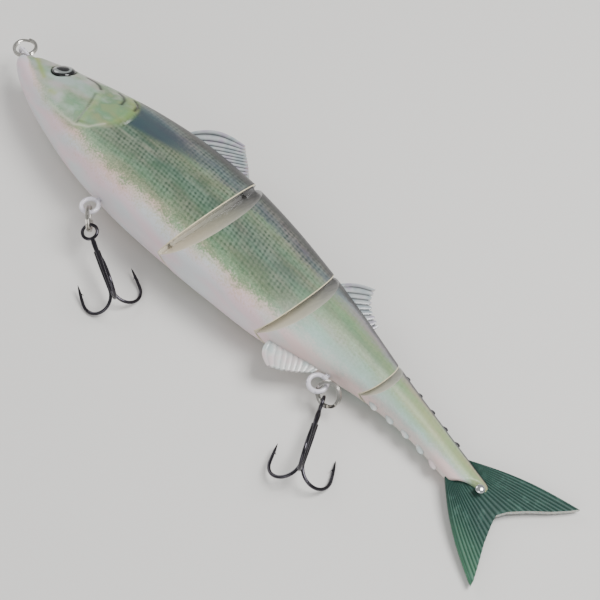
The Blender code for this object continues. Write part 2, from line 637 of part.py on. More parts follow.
def main():
    clear_scene()
    collection(PARTS)
    collection(CUTTERS)
    green = finish("green_back_paint", 0.22, 0.42, 0.30, 0.28)
    pearl = finish("pearl_fin_plastic", 0.80, 0.84, 0.84, 0.3)
    steel = finish("nickel_steel", 0.72, 0.71, 0.68, 0.2, 1.0)
    painted = finish("pearl_painted_wire", 0.78, 0.76, 0.80, 0.3)
    dark = finish("black_nickel_steel", 0.10, 0.10, 0.11, 0.25, 1.0)
    foil = finish("eye_foil", 0.75, 0.76, 0.76, 0.2, 0.8)
    clear = finish("clear_eye_resin", 0.9, 0.9, 0.9, 0.05)
    rubber = finish("soft_tail_rubber", 0.04, 0.22, 0.17, 0.45)
    lead = finish("cast_lead", 0.30, 0.30, 0.32, 0.6, 1.0)

    head = frame_at("head_frame", Vector((0, 0, 0)), None, HEAD_PITCH)
    head.location = JAW_TO_ORIGIN
    pins = [Vector((pin, 0, 0)) for pin in JOINT_PINS]
    mid = frame_at("joint_1_axis", pins[0], head, JOINT_BENDS[0])
    rear = frame_at("joint_2_axis", pins[1], mid, JOINT_BENDS[1])
    tail = frame_at("joint_3_axis", pins[2], rear, JOINT_BENDS[2])

    head_slugs = [Vector((50, -9.5, 0)) * MM, Vector((84, -12.2, 0)) * MM]
    mid_slug = Vector((124, -9.2, 0)) * MM
    front_stem = around_stem(FRONT_HANGER, FRONT_HANGER + Vector((0, HANGER_STEM + GAP, 0)),
                             HANGER_WIRE)
    rear_stem = around_stem(REAR_HANGER, REAR_HANGER + Vector((0, HANGER_STEM + GAP, 0)),
                            HANGER_WIRE)
    tie_end = LINE_TIE + Vector((15 * MM, 0, 0))
    tie_stem = around_stem(LINE_TIE, tie_end + Vector((GAP, 0, 0)), LINE_TIE_WIRE)
    slugs = [around_ballast(place) for place in head_slugs]
    mid_holder = around_ballast(mid_slug)

    mouth = [box("mouth_front", (-3 * MM, LINE_TIE.y - 1.2 * MM, -9 * MM),
                 (3.6 * MM, 9 * MM, 9 * MM)),
             box("mouth_slit", (2 * MM, LINE_TIE.y - 1.2 * MM, -9 * MM),
                 (5.6 * MM, LINE_TIE.y + 1.1 * MM, 9 * MM))]
    sockets = eyes(head, foil, clear)
    section_shells(
        "head", lambda half: 0.1 * MM, recess(0), lambda half: 20 * MM,
        recess(0, RECESS_BLOCK), head,
        pin_and_slots(0) + mouth + sockets + [front_stem[1], tie_stem[1]]
        + [slug[1] for slug in slugs] + [fin_slot("front_dorsal_fin")],
        [front_stem[0], tie_stem[0]] + [slug[0] for slug in slugs]
        + [rod("eye_block", (EYE_STATION, EYE_HEIGHT, -20 * MM),
               (EYE_STATION, EYE_HEIGHT, 20 * MM), 6 * MM)], green, 14, dense=True)
    section_shells(
        "mid", nose(0), recess(1), nose(0, NOSE_BLOCK), recess(1, RECESS_BLOCK), mid,
        pin_and_slots(1) + stem_bores(0) + [mid_holder[1]], [mid_holder[0]], green, 5)
    section_shells(
        "rear", nose(1), recess(2), nose(1, NOSE_BLOCK), recess(2, RECESS_BLOCK), rear,
        pin_and_slots(2) + stem_bores(1) + [rear_stem[1]]
        + [fin_slot("rear_dorsal_fin"), fin_slot("anal_fin")], [rear_stem[0]], green, 6)
    pin_x, pin_y = TAIL_PIN
    tail_shells = section_shells(
        "tail", nose(2), lambda half: BODY_END - 0.5 * MM, nose(2, NOSE_BLOCK),
        lambda half: 211 * MM, tail,
        stem_bores(2) + [box("tail_fin_slot", (TAIL_SLOT_START, -20 * MM, -TAIL_THICKNESS / 2 - GAP),
                             (240 * MM, 20 * MM, TAIL_THICKNESS / 2 + GAP)),
                         rod("tail_pin_bore", (pin_x, pin_y, -9 * MM), (pin_x, pin_y, 9 * MM),
                             TAIL_PIN_RADIUS + GAP)], [], green, 8, wall=1.5 * MM)
    finlets(tail, green, tail_shells)

    hinge(0, steel, head, mid)
    hinge(1, steel, mid, rear)
    hinge(2, steel, rear, tail)
    for name, outline, home in (("front_dorsal_fin", FRONT_FIN, head),
                                ("rear_dorsal_fin", REAR_FIN, rear), ("anal_fin", ANAL_FIN, rear)):
        add_object(name, plate(name, outline, FIN_THICKNESS), PARTS, pearl, home)
    screw_eye("line_tie", LINE_TIE, (0, 1, 0), LINE_TIE_RING, LINE_TIE_WIRE, tie_end, painted, head)
    screw_eye("front_hanger", FRONT_HANGER, (0, 0, 1), HANGER_RING, HANGER_WIRE,
              FRONT_HANGER + Vector((0, HANGER_STEM, 0)), painted, head)
    screw_eye("rear_hanger", REAR_HANGER, (0, 0, 1), HANGER_RING, HANGER_WIRE,
              REAR_HANGER + Vector((0, HANGER_STEM, 0)), painted, rear)
    for index, place in enumerate(head_slugs):
        ballast(("front", "middle")[index], place, lead, head)
    ballast("rear", mid_slug, lead, mid)
    tail_fin(tail, rubber)
    wrist = section_point(pin_x, 0.4)[1]
    shaft = wrist + 0.85 * MM
    joined("tail_pin", [rod("tail_pin", (pin_x, pin_y, -shaft), (pin_x, pin_y, shaft), TAIL_PIN_RADIUS),
                        rod("tail_pin_head", (pin_x, pin_y, shaft - 0.1 * MM),
                            (pin_x, pin_y, shaft + 0.6 * MM), TAIL_PIN_HEAD, 16, 0.7 * MM),
                        rod("tail_pin_end", (pin_x, pin_y, -shaft - 0.6 * MM),
                            (pin_x, pin_y, 0.1 * MM - shaft), 0.7 * MM, 16, TAIL_PIN_HEAD)],
           steel, tail)

    hook_set("front", FRONT_HANGER, FRONT_TOUCH, FRONT_RING_AXIS, FRONT_RING_WAY, FRONT_RING_WAY,
             FRONT_HOOK_WAY, steel, dark, head)
    hook_set("rear", REAR_HANGER, REAR_TOUCH, REAR_RING_AXIS, REAR_RING_WAY, REAR_HOOK_TOUCH,
             REAR_HOOK_WAY, steel, dark, rear)
    tie_contact = LINE_TIE + TIE_TOUCH * LINE_TIE_RING
    tie_slack = SPLIT_RING - SPLIT_RING_RADIAL - LINE_TIE_WIRE - LINK_CLEARANCE
    tie_frame = frame_at("nose_ring_axis", tie_contact, head, 0.0)
    split_ring("nose_split_ring", tie_contact + TIE_RING_WAY.normalized() * tie_slack,
               TIE_RING_AXIS, steel, tie_frame)


main()
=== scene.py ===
"""Four-section hard swimbait: painted skins, fins, eyes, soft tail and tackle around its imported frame."""

import json
import math

import bmesh
import bpy
from bpy.props import FloatProperty, FloatVectorProperty, PointerProperty
from mathutils import Matrix, Vector


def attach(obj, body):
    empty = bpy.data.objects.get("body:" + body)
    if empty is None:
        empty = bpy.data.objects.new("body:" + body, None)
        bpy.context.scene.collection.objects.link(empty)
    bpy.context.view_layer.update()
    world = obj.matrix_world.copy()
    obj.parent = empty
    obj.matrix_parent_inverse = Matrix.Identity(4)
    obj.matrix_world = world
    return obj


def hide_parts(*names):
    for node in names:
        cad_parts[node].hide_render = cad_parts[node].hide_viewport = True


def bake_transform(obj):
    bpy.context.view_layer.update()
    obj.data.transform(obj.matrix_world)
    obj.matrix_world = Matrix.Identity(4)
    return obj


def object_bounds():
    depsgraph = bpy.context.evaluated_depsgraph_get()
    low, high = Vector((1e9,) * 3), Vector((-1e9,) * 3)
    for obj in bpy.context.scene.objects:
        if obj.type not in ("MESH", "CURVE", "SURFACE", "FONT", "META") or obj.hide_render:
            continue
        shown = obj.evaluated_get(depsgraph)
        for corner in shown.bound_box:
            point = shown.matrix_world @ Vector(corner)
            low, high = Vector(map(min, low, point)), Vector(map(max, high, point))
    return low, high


bl_info = {
    "name": "Jointed Swimbait",
    "version": (1, 0, 0),
    "blender": (4, 5, 0),
    "location": "View3D > Sidebar > Swimbait",
    "description": "Builds the painted skins, fins, eyes, soft tail and tackle of a jointed swimbait",
    "category": "Object",
}

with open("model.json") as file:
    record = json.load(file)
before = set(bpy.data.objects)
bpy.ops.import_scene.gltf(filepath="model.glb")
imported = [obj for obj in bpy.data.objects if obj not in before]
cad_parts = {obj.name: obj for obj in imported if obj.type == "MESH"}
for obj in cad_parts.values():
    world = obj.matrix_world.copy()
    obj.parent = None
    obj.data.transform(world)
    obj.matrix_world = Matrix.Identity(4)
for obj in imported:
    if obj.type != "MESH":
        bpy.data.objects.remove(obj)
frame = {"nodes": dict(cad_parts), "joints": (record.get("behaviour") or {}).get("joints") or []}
CAD_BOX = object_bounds()

MM = 0.001
SIDES = (("left", 1.0), ("right", -1.0))

# Where the straight fish stands: millimetres from the jaw, above the middle line, to the left
JAW_PLACE = Vector((-120.56, 7.27, 12.64)) * MM
HEAD_PITCH = -1.4
JOINT_BENDS = {"joint_1": 5.6, "joint_2": 2.2, "joint_3": -1.3}
RECESS_APEX = (101.6, 143.2, 179.6)
PIN_BEFORE_APEX = 2.0
NOSE_AFTER_APEX = 1.2
RECESS_SLOPE = math.tan(math.radians(30.0))
NOSE_SLOPE = math.tan(math.radians(42.0))

# Outline of the body: distance from the jaw, back, belly, half width, widest line
BODY = (
    (0.0, 2.8, -4.6, 4.4, -0.8),
    (6.0, 3.5, -6.4, 6.0, -1.2),
    (12.0, 5.0, -8.7, 7.8, -2.2),
    (20.0, 7.9, -11.3, 9.7, -3.0),
    (30.0, 10.8, -13.7, 11.4, -2.8),
    (45.0, 14.8, -16.7, 13.0, -1.6),
    (60.0, 18.2, -18.5, 13.8, 0.0),
    (80.0, 21.0, -19.4, 14.2, 0.8),
    (104.0, 21.4, -18.6, 14.2, 1.4),
    (124.0, 20.5, -16.5, 13.3, 2.0),
    (144.0, 18.3, -13.8, 11.6, 2.3),
    (162.0, 15.7, -8.6, 9.6, 3.4),
    (180.0, 12.4, -3.4, 7.4, 4.4),
    (200.0, 9.2, -1.5, 4.9, 3.8),
    (218.0, 6.6, -2.6, 3.3, 2.0),
    (229.0, 5.0, -2.6, 2.6, 1.2),
)
BACK, BELLY, HALF, WIDEST = 1, 2, 3, 4
NOSE_ROUNDING = 8.0
WRIST_ROUNDING = 2.6
WRIST_RAKE = 9.0
BODY_END = 229.0
BACK_POWER = 2.0
BELLY_POWER = 2.5
UPPER_SNOUT = 3.5
MOUTH_HEIGHT = 0.3
RIM_REACH = 0.2
RIM_DEPTH = 0.28

# Paint borders: distance from the jaw, top of the white belly, bottom of the grey back
BORDERS = (
    (0.0, 1.6, 3.2),
    (8.0, -1.4, 4.4),
    (15.0, -4.4, 5.6),
    (22.0, -6.6, 7.0),
    (31.0, -9.2, 8.6),
    (40.0, -10.8, 9.6),
    (50.0, -11.8, 10.2),
    (62.0, -13.4, 9.6),
    (75.0, -13.6, 8.2),
    (85.0, -13.2, 7.8),
    (96.0, -13.0, 8.2),
    (108.0, -12.8, 8.6),
    (118.0, -11.4, 10.0),
    (138.0, -10.0, 10.2),
    (147.0, -8.2, 10.6),
    (160.0, -4.4, 11.6),
    (170.0, -3.2, 10.8),
    (180.0, -1.4, 9.4),
    (200.0, 0.0, 7.2),
    (218.0, 0.2, 5.2),
    (229.0, 0.2, 4.0),
)
WHITE_TOP, GREY_BOTTOM = 1, 2

# Curves on the head: the gill cover, its folds, the streaks of painted highlight and the line along the flank
GILL_COVER = ((52.7, 11.6), (56.5, 10.2), (60.4, 7.4), (62.2, 3.4), (61.6, -0.8), (58.4, -4.6),
              (53.8, -8.0), (48.6, -9.8))
CHEEK_FOLD = ((42.6, 2.6), (44.8, -0.4), (46.4, -3.4), (47.8, -7.0), (48.7, -9.8))
BROW_FOLD = ((31.6, 7.0), (35.4, 7.3), (38.8, 6.8), (41.4, 5.6))
NAPE_FOLD = ((45.2, 10.2), (48.8, 9.5), (51.6, 8.0), (53.2, 5.6))
EAR_FOLD = ((51.4, 11.9), (54.4, 11.0), (57.0, 9.4), (58.6, 7.0))
# Streaks of painted highlight on the head
HIGHLIGHT_STREAKS = (((33.0, -10.2), (41.0, -10.9), (48.6, -10.8)), ((46.6, -3.6), (48.0, -8.0), (48.6, -10.8)),
           ((48.6, -10.8), (53.6, -8.6), (57.4, -4.2)))
FLANK_LINE = ((60.0, -2.3), (69.2, -1.3), (77.9, -0.2), (90.0, 0.7), (104.0, 1.2))

EYE_STATION = 24.2
EYE_HEIGHT = 2.4
EYE_RADIUS = 4.1
EYE_SINK = 1.15
EYE_GAZE = 0.55
PUPIL = (2.55, 2.0, 1.0)
PRINTED_SPOKES = 48.0

HANGER_RING = 2.85
HANGER_WIRE = 0.75
HANGER_STEM = 12.0
LINE_TIE = Vector((-0.7, 1.4, 0.0))
LINE_TIE_RING = 2.5
LINE_TIE_WIRE = 0.7
LINE_TIE_STEM = 15.0
FRONT_HANGER = Vector((71.6, -23.2, 0.0))
REAR_HANGER = Vector((169.4, -10.6, 0.0))
LINK_CLEARANCE = 0.55
HOOK_EYE_SLACK = 0.5
HOOK_BEND = 5.3
HOOK_POINT_RISE = 12.5
TAIL_PIN = (226.6, 1.6)
FINLET_STATIONS = (185.5, 192.0, 198.5, 205.0, 211.0)

CAMERA_TARGET = Vector((0.0172, 0.0172, 0.0))
CAMERA_AZIMUTH = 48.5
CAMERA_ELEVATION = 55.0
CAMERA_DISTANCE = 0.4573
CAMERA_VIEW = 24.0


def linear(code):
    """An sRGB hex colour as the linear colour that a socket holds."""
    channels = [int(code[index:index + 2], 16) / 255.0 for index in (1, 3, 5)]
    return [c / 12.92 if c <= 0.04045 else ((c + 0.055) / 1.055) ** 2.4 for c in channels] + [1.0]


def along(table, column, place):
    """One column of a table, read with a smooth curve through its stations."""
    place = min(max(place, table[0][0]), table[-1][0])
    index = 0
    while index < len(table) - 2 and table[index + 1][0] < place:
        index += 1

    def slope(row):
        before, after = table[max(row - 1, 0)], table[min(row + 1, len(table) - 1)]
        return (after[column] - before[column]) / (after[0] - before[0])

    start, end = table[index], table[index + 1]
    span = end[0] - start[0]
    t = (place - start[0]) / span
    value = (2 * t**3 - 3 * t**2 + 1) * start[column] + (t**3 - 2 * t**2 + t) * span * slope(index)
    return value + (3 * t**2 - 2 * t**3) * end[column] + (t**3 - t**2) * span * slope(index + 1)


def smooth(low, high, value):
    t = min(max((value - low) / (high - low), 0.0), 1.0)
    return t * t * (3.0 - 2.0 * t)


def distance_to(curve, place, height):
    """Distance on the flank from a point to a bent line."""
    point = Vector((place, height))
    best = 1e9
    for first, second in zip(curve, curve[1:]):
        start, step = Vector(first), Vector(second) - Vector(first)
        share = min(max((point - start).dot(step) / step.length_squared, 0.0), 1.0)
        best = min(best, (point - start - step * share).length)
    return best


def line_mask(curve, place, height, width):
    """1 on a bent line, falling smoothly to 0 about two widths away."""
    return math.exp(-((distance_to(curve, place, height) / width) ** 2))


def section_point(place, angle, start=0.0, end=BODY_END):
    """Height and half width of the body at a station, for an angle from belly to back."""
    shrink = 1.0
    if place < start + NOSE_ROUNDING:
        lack = 1.0 - max(place - start, 0.0) / NOSE_ROUNDING
        shrink = math.sqrt(max(1.0 - lack * lack, 0.0))
    if place > end - WRIST_ROUNDING:
        lack = min((place - end + WRIST_ROUNDING) / WRIST_ROUNDING, 1.0)
        shrink = math.sqrt(max(1.0 - lack * lack, 0.0))
    widest = along(BODY, WIDEST, place)
    sine, cosine = math.sin(angle), math.cos(angle)
    edge, power = (BACK, BACK_POWER) if sine > 0 else (BELLY, BELLY_POWER)
    rise = (along(BODY, edge, place) - widest) * shrink
    height = widest + rise * abs(sine) ** (2.0 / power)
    return height, along(BODY, HALF, place) * shrink * max(cosine, 0.0) ** (2.0 / power)


def turn_about_pin(degrees):
    return Matrix.Rotation(math.radians(degrees), 4, "Y")


def section_places():
    """The matrix that lays each straight section, in millimetres, into the world."""
    scale = Matrix.Scale(MM, 4)
    pitch = HEAD_PITCH
    places = {"head": Matrix.Translation(JAW_PLACE) @ turn_about_pin(pitch) @ scale}
    joints = {joint["name"]: joint for joint in frame["joints"]}
    for apex, (name, bend) in zip(RECESS_APEX, JOINT_BENDS.items()):
        pitch += bend
        pin = Matrix.Translation((PIN_BEFORE_APEX - apex, 0.0, 0.0))
        places[joints[name]["child"]] = (
            Matrix.Translation(joints[name]["pos_m"]) @ turn_about_pin(pitch) @ scale @ pin)
    return places


PLACES = section_places()


# ---------------------------------------------------------------- materials

def add_node(tree, kind, inputs=(), output=0, stops=(), **settings):
    """Add a node with its settings and links, and return one of its outputs.

    The inputs are listed from the first socket on, or keyed. A text is a colour's hex code."""
    made = tree.nodes.new("ShaderNode" + kind)
    for key, value in settings.items():
        setattr(made, key, value)
    if stops:
        ramp = made.color_ramp
        while len(ramp.elements) < len(stops):
            ramp.elements.new(0.5)
        for element, (position, colour) in zip(ramp.elements, stops):
            element.position = position
            element.color = linear(colour)
    for key, value in inputs.items() if isinstance(inputs, dict) else enumerate(inputs):
        if isinstance(value, bpy.types.NodeSocket):
            tree.links.new(value, made.inputs[key])
        else:
            made.inputs[key].default_value = linear(value) if isinstance(value, str) else value
    return made.outputs[output]


def new_material(name, **uniform):
    """A material with one Principled shader, its uniform values set on the sockets."""
    material = bpy.data.materials.new(name)
    material.use_nodes = True
    shader = material.node_tree.nodes["Principled BSDF"]
    for key, value in uniform.items():
        shader.inputs[key.replace("_", " ")].default_value = value
    return material, material.node_tree, shader


# What a node that mixes two colours is told besides its factor (0) and its colours (6 and 7)
MIX = {"output": 2, "data_type": "RGBA"}
EVERY_OUTPUT = slice(None)

FRONT_PAINT = (
    (0.0, "#ddd3d9"), (0.28, "#dcd1d4"), (0.32, "#cfc1b0"), (0.352, "#8b9c78"), (0.40, "#5c7855"),
    (0.47, "#446046"), (0.54, "#3a5342"), (0.60, "#4f654a"), (0.65, "#6d7c5f"), (0.685, "#525f5c"),
    (0.72, "#38444a"), (0.76, "#4e525b"), (0.80, "#434247"), (0.84, "#1f1e22"), (0.87, "#0b0a0c"))
REAR_PAINT = (
    (0.0, "#ddd0ca"), (0.27, "#d8cec6"), (0.34, "#b3c2b8"), (0.41, "#9db3a0"), (0.48, "#7f9a74"),
    (0.54, "#627f58"), (0.60, "#7c9068"), (0.66, "#878c84"), (0.72, "#77777c"), (0.78, "#4a494e"),
    (0.83, "#1f1f21"), (0.87, "#0b0a0c"))
CLOUD_SIZE, CLOUD_DRIFT = 5.0, 0.22
SPECK_SIZE, SPECK_DRIFT = 0.7, 0.36
FADE_TO_REAR = (138.0, 160.0)


def flank_paint(props):
    """Airbrushed lacquer over moulded ABS under a gloss clear coat: soft borders between the white
    belly, the green flank and the grey back, broken by fine scale rows."""
    material, tree, shader = new_material(
        "airbrushed_abs", Roughness=0.45, IOR=1.5, Coat_Weight=0.16, Coat_Roughness=0.16)
    place = add_node(tree, "Attribute", output="Vector", attribute_name="fish")
    station, _height, girth = add_node(tree, "SeparateXYZ", (place,), EVERY_OUTPUT)
    band, slate, cheek = add_node(tree, "SeparateXYZ", (add_node(
        tree, "Attribute", output="Vector", attribute_name="paint"),), EVERY_OUTPUT)
    folds, painted_highlights, green = add_node(tree, "SeparateXYZ", (add_node(
        tree, "Attribute", output="Vector", attribute_name="marks"),), EVERY_OUTPUT)

    # Spray drifts over each border, in clouds and in specks
    sprayed = band
    for size, detail, drift in ((CLOUD_SIZE, 3.0, CLOUD_DRIFT), (SPECK_SIZE, 4.0, SPECK_DRIFT)):
        cloud = add_node(tree, "TexNoise", {"Vector": place, "Scale": 1.0 / size, "Detail": detail})
        cloud = add_node(tree, "Math", (cloud, 0.5), operation="SUBTRACT")
        sprayed = add_node(tree, "Math", (cloud, drift, sprayed), operation="MULTIPLY_ADD")
    level = add_node(tree, "MapRange", (sprayed, -1.0, 2.0))
    front = add_node(tree, "ValToRGB", (level,), stops=FRONT_PAINT)
    rear = add_node(tree, "ValToRGB", (level,), stops=REAR_PAINT)
    aft = add_node(tree, "MapRange", (station, *FADE_TO_REAR), interpolation_type="SMOOTHSTEP")
    colour = add_node(tree, "Mix", {0: aft, 6: front, 7: rear}, **MIX)
    wrist = add_node(tree, "Math", (
        add_node(tree, "MapRange", (station, 178.0, 200.0, 0.0, 0.62)),
        add_node(tree, "MapRange", (sprayed, 0.0, 0.35))), operation="MULTIPLY")
    wrist = add_node(tree, "Math", (
        wrist, add_node(tree, "MapRange", (sprayed, 1.1, 1.4, 1.0, 0.0))), operation="MULTIPLY")
    colour = add_node(tree, "Mix", {0: wrist, 6: colour, 7: "#a7b077"}, **MIX)

    # Diamond scale rows: two crossing waves along the body and round its girth. Their real pitch
    # wasn't measured; they are drawn as coarse as they need to be to show.
    rows, phase = 0.5, 2.0 * math.pi / (props.scale_pitch / MM)
    for lean in (1.5, -0.75):
        wave = add_node(tree, "Math", (girth, lean, station), operation="MULTIPLY_ADD")
        wave = add_node(tree, "Math", (wave, phase), operation="MULTIPLY")
        wave = add_node(tree, "Math", (wave,), operation="SINE")
        rows = add_node(tree, "Math", (wave, rows), operation="MULTIPLY")
    rows = add_node(tree, "Math", (rows, 0.5), operation="ADD")
    uneven = add_node(tree, "TexNoise", {"Vector": place, "Scale": 1.0 / 1.5, "Detail": 1.0})
    uneven = add_node(tree, "MapRange", (uneven, 0.3, 0.62, 0.35, 1.15))
    rows = add_node(tree, "Math", (rows, uneven), operation="MULTIPLY")

    # They are strong on the flank, and fade at the ridge, the slate patch, the cheek and the tail
    strength = add_node(tree, "TexNoise", {"Vector": place, "Scale": 1.0 / 7.0, "Detail": 3.0})
    strength = add_node(tree, "MapRange", (strength, 0.32, 0.62, 0.25))
    for fade in (add_node(tree, "MapRange", (band, 0.0, 0.3)),
                 add_node(tree, "MapRange", (band, 1.4, 1.7, 1.0, 0.0)),
                 add_node(tree, "MapRange", (slate, 0.0, 1.0, 1.0, 0.0)),
                 add_node(tree, "MapRange", (cheek, 0.0, 1.0, 1.0, 0.0)),
                 add_node(tree, "MapRange", (aft, 0.0, 1.0, 1.0, 0.25))):
        strength = add_node(tree, "Math", (strength, fade), operation="MULTIPLY")
    relief = add_node(tree, "Math", (rows, strength), operation="MULTIPLY")
    shade = add_node(tree, "Math", (relief, 0.66), operation="MULTIPLY")
    lift = add_node(tree, "Math", (strength, relief), operation="SUBTRACT")
    lift = add_node(tree, "Math", (lift, 0.3), operation="MULTIPLY")
    colour = add_node(tree, "Mix", {0: shade, 6: colour, 7: "#26392c"}, **MIX)
    colour = add_node(tree, "Mix", {0: lift, 6: colour, 7: "#aab59f"}, **MIX)

    # Head: pale cheek with green mist, slate patch behind the gill cover, folds, and streaks of painted
    # highlight
    mist = add_node(tree, "TexNoise", {"Vector": place, "Scale": 1.0 / 6.0, "Detail": 3.0})
    mist = add_node(tree, "Math", (
        mist, add_node(tree, "MapRange", (station, 30.0, 52.0, 0.0, 0.42))), operation="ADD")
    mist = add_node(tree, "ValToRGB", (mist,), stops=(
        (0.45, "#a6aaa3"), (0.68, "#93a28c"), (0.88, "#6b8a66"), (1.0, "#7f9266")))
    for fade in (add_node(tree, "MapRange", (band, -0.12, 0.12)),
                 add_node(tree, "MapRange", (band, 1.3, 1.9, 1.0, 0.45))):
        cheek = add_node(tree, "Math", (cheek, fade), operation="MULTIPLY")
    colour = add_node(tree, "Mix", {0: cheek, 6: colour, 7: mist}, **MIX)
    # The cream streaks mixed in here are painted highlights
    for mask, share, tint in ((green, 0.75, "#8f9f45"), (slate, 0.92, (*props.slate_colour, 1.0)),
                              (painted_highlights, 0.62, "#c9cbb2"), (folds, 1.0, "#0f120d")):
        mask = add_node(tree, "Math", (mask, share), operation="MULTIPLY", use_clamp=True)
        colour = add_node(tree, "Mix", {0: mask, 6: colour, 7: tint}, **MIX)

    # Pearl: a faint drift between pink and blue in the lacquer
    drift = add_node(tree, "Mapping", {"Vector": place, "Scale": (0.5, 1.6, 1.6)})
    drift = add_node(tree, "TexNoise", {"Vector": drift, "Scale": 1.0 / 9.0, "Detail": 1.0})
    drift = add_node(tree, "MapRange", (drift, 0.35, 0.65))
    pearl = add_node(tree, "Mix", {0: drift, 6: "#ffeef2", 7: "#ebfafa"}, **MIX)
    colour = add_node(tree, "Mix", {0: 1.0, 6: colour, 7: pearl}, blend_type="MULTIPLY", **MIX)
    tree.links.new(colour, shader.inputs["Base Color"])
    bump = add_node(tree, "Bump", {"Strength": 0.35, "Distance": 0.08 * MM, "Height": relief})
    tree.links.new(bump, shader.inputs["Normal"])
    return material


def joint_plastic():
    """Bare moulded ABS on the joint faces, olive grey, with the gloss of the polished mould. Its stops are
    painted paler than the plastic, a painted light on faces that lie in shade in the gaps; darker towards the
    back."""
    material, tree, shader = new_material(
        "bare_joint_abs", Roughness=0.24, IOR=1.53, Coat_Weight=0.3, Coat_Roughness=0.12)
    place = add_node(tree, "Attribute", output="Vector", attribute_name="fish")
    height = add_node(tree, "SeparateXYZ", (place,), "Y")
    level = add_node(tree, "MapRange", (height, -16.0, 18.0))
    cloud = add_node(tree, "TexNoise", {"Vector": place, "Scale": 1.0 / 4.0, "Detail": 3.0})
    cloud = add_node(tree, "Math", (cloud, 0.5), operation="SUBTRACT")
    level = add_node(tree, "Math", (cloud, 0.3, level), operation="MULTIPLY_ADD")
    # Painted light: pale stops lift the faces out of the shade in the gaps; darker towards the back
    colour = add_node(tree, "ValToRGB", (level,), stops=(
        (0.0, "#ece4d4"), (0.35, "#ddd8c8"), (0.62, "#c8c7b9"), (0.85, "#a3a29e"), (1.0, "#797877")))
    tree.links.new(colour, shader.inputs["Base Color"])
    return material


def clouded(name, first, second, size, detail=3.0, **uniform):
    """A plastic whose colour drifts between two near tints, in clouds of a size in millimetres."""
    material, tree, shader = new_material(name, **uniform)
    place = add_node(tree, "Attribute", output="Vector", attribute_name="fish")
    cloud = add_node(tree, "TexNoise", {"Vector": place, "Scale": 1.0 / size, "Detail": detail})
    colour = add_node(tree, "Mix", {0: cloud, 6: first, 7: second}, **MIX)
    tree.links.new(colour, shader.inputs["Base Color"])
    return material


def rim_plastic():
    """The cut edge of the paint on each rear rim, where cream primer catches the light."""
    return clouded("cream_primer_rim", "#e6dcbc", "#c4b795", 3.0, Roughness=0.3, IOR=1.5)


def tail_edge():
    """The cut edge of the soft tail: bare elastomer without pigment, milky and matt."""
    return clouded("milky_elastomer_edge", "#c3c4bd", "#a7aaa3", 2.5,
                   Roughness=0.5, IOR=1.45, Subsurface_Weight=0.1, Subsurface_Scale=MM)


def fin_plastic(name, tints, groove_shade, deep_groove_shade, **uniform):
    """Moulded fin plastic with sprayed pearl: pale rays with cool and pink tints, and painted shade in
    the grooves between them, which on the dorsal fins fades out at the root."""
    material, tree, shader = new_material(name, IOR=1.5, Coat_Weight=0.6, Coat_Roughness=0.1, **uniform)
    place = add_node(tree, "Attribute", output="Vector", attribute_name="fish")
    groove, _reach, strength = add_node(tree, "SeparateXYZ", (add_node(
        tree, "Attribute", output="Vector", attribute_name="ray"),), EVERY_OUTPUT)
    cloud = add_node(tree, "TexNoise", {"Vector": place, "Scale": 1.0 / 4.0, "Detail": 1.0})
    tint = add_node(tree, "ValToRGB", (cloud,), stops=tints)
    # Painted shade: the grooves between the rays are darkened
    depth = add_node(tree, "Math", (groove, strength if deep_groove_shade else 0.35), operation="MULTIPLY")
    colour = add_node(tree, "Mix", {0: depth, 6: tint, 7: groove_shade}, **MIX)
    tree.links.new(colour, shader.inputs["Base Color"])
    return material


def dorsal_fin_plastic(props):
    return fin_plastic("pearl_fin_abs", ((0.35, "#97a2a6"), (0.5, "#b0b6b6"), (0.62, "#a8a2af")),
                       (*props.groove_shade_colour, 1.0), True, Roughness=0.3)


def anal_fin_plastic():
    return fin_plastic("plain_pearl_fin_abs", ((0.35, "#b4bfbd"), (0.5, "#cac9c5"), (0.64, "#cbbcbc")),
                       "#8f999c", False, Roughness=0.32)


def tail_rubber(props):
    """Soft thermoplastic elastomer with pigment stirred in: deep teal green, satin. The lower lobe is
    painted lighter, a painted light, and the grooves between the rays get painted shade."""
    material, tree, shader = new_material(
        "teal_elastomer", Roughness=0.5, IOR=1.45, Subsurface_Weight=0.04, Subsurface_Scale=MM)
    place = add_node(tree, "Attribute", output="Vector", attribute_name="fish")
    height = add_node(tree, "SeparateXYZ", (place,), "Y")
    groove = add_node(tree, "SeparateXYZ", (add_node(
        tree, "Attribute", output="Vector", attribute_name="ray"),), "X")
    cloud = add_node(tree, "TexNoise", {"Vector": place, "Scale": 1.0 / 5.0, "Detail": 3.0})
    base = add_node(tree, "Mix", {0: cloud, 6: (*props.tail_colour, 1.0), 7: "#1a483b"}, **MIX)
    # Painted light: a lighter green for the lower lobe
    light = add_node(tree, "Mix", {0: cloud, 6: "#35664d", 7: "#4a7a5a"}, **MIX)
    lower = add_node(tree, "MapRange", (height, -4.0, -20.0), interpolation_type="SMOOTHSTEP")
    lower = add_node(tree, "Math", (lower, 0.75), operation="MULTIPLY")
    colour = add_node(tree, "Mix", {0: lower, 6: base, 7: light}, **MIX)
    # Painted shade in the grooves between the rays
    groove = add_node(tree, "Math", (groove, 0.6), operation="MULTIPLY")
    colour = add_node(tree, "Mix", {0: groove, 6: colour, 7: "#07221c"}, **MIX)
    streak = add_node(tree, "TexNoise", {"Vector": place, "Scale": 1.0 / 2.2, "Detail": 2.0})
    streak = add_node(tree, "MapRange", (streak, 0.55, 0.75, 0.0, 0.3))
    colour = add_node(tree, "Mix", {0: streak, 6: colour, 7: "#4f7568"}, **MIX)
    tree.links.new(colour, shader.inputs["Base Color"])
    grain = add_node(tree, "TexNoise", {"Vector": place, "Scale": 1.0 / 0.6, "Detail": 1.0})
    grain = add_node(tree, "Bump", {"Strength": 0.25, "Distance": 0.06 * MM, "Height": grain})
    tree.links.new(grain, shader.inputs["Normal"])
    return material


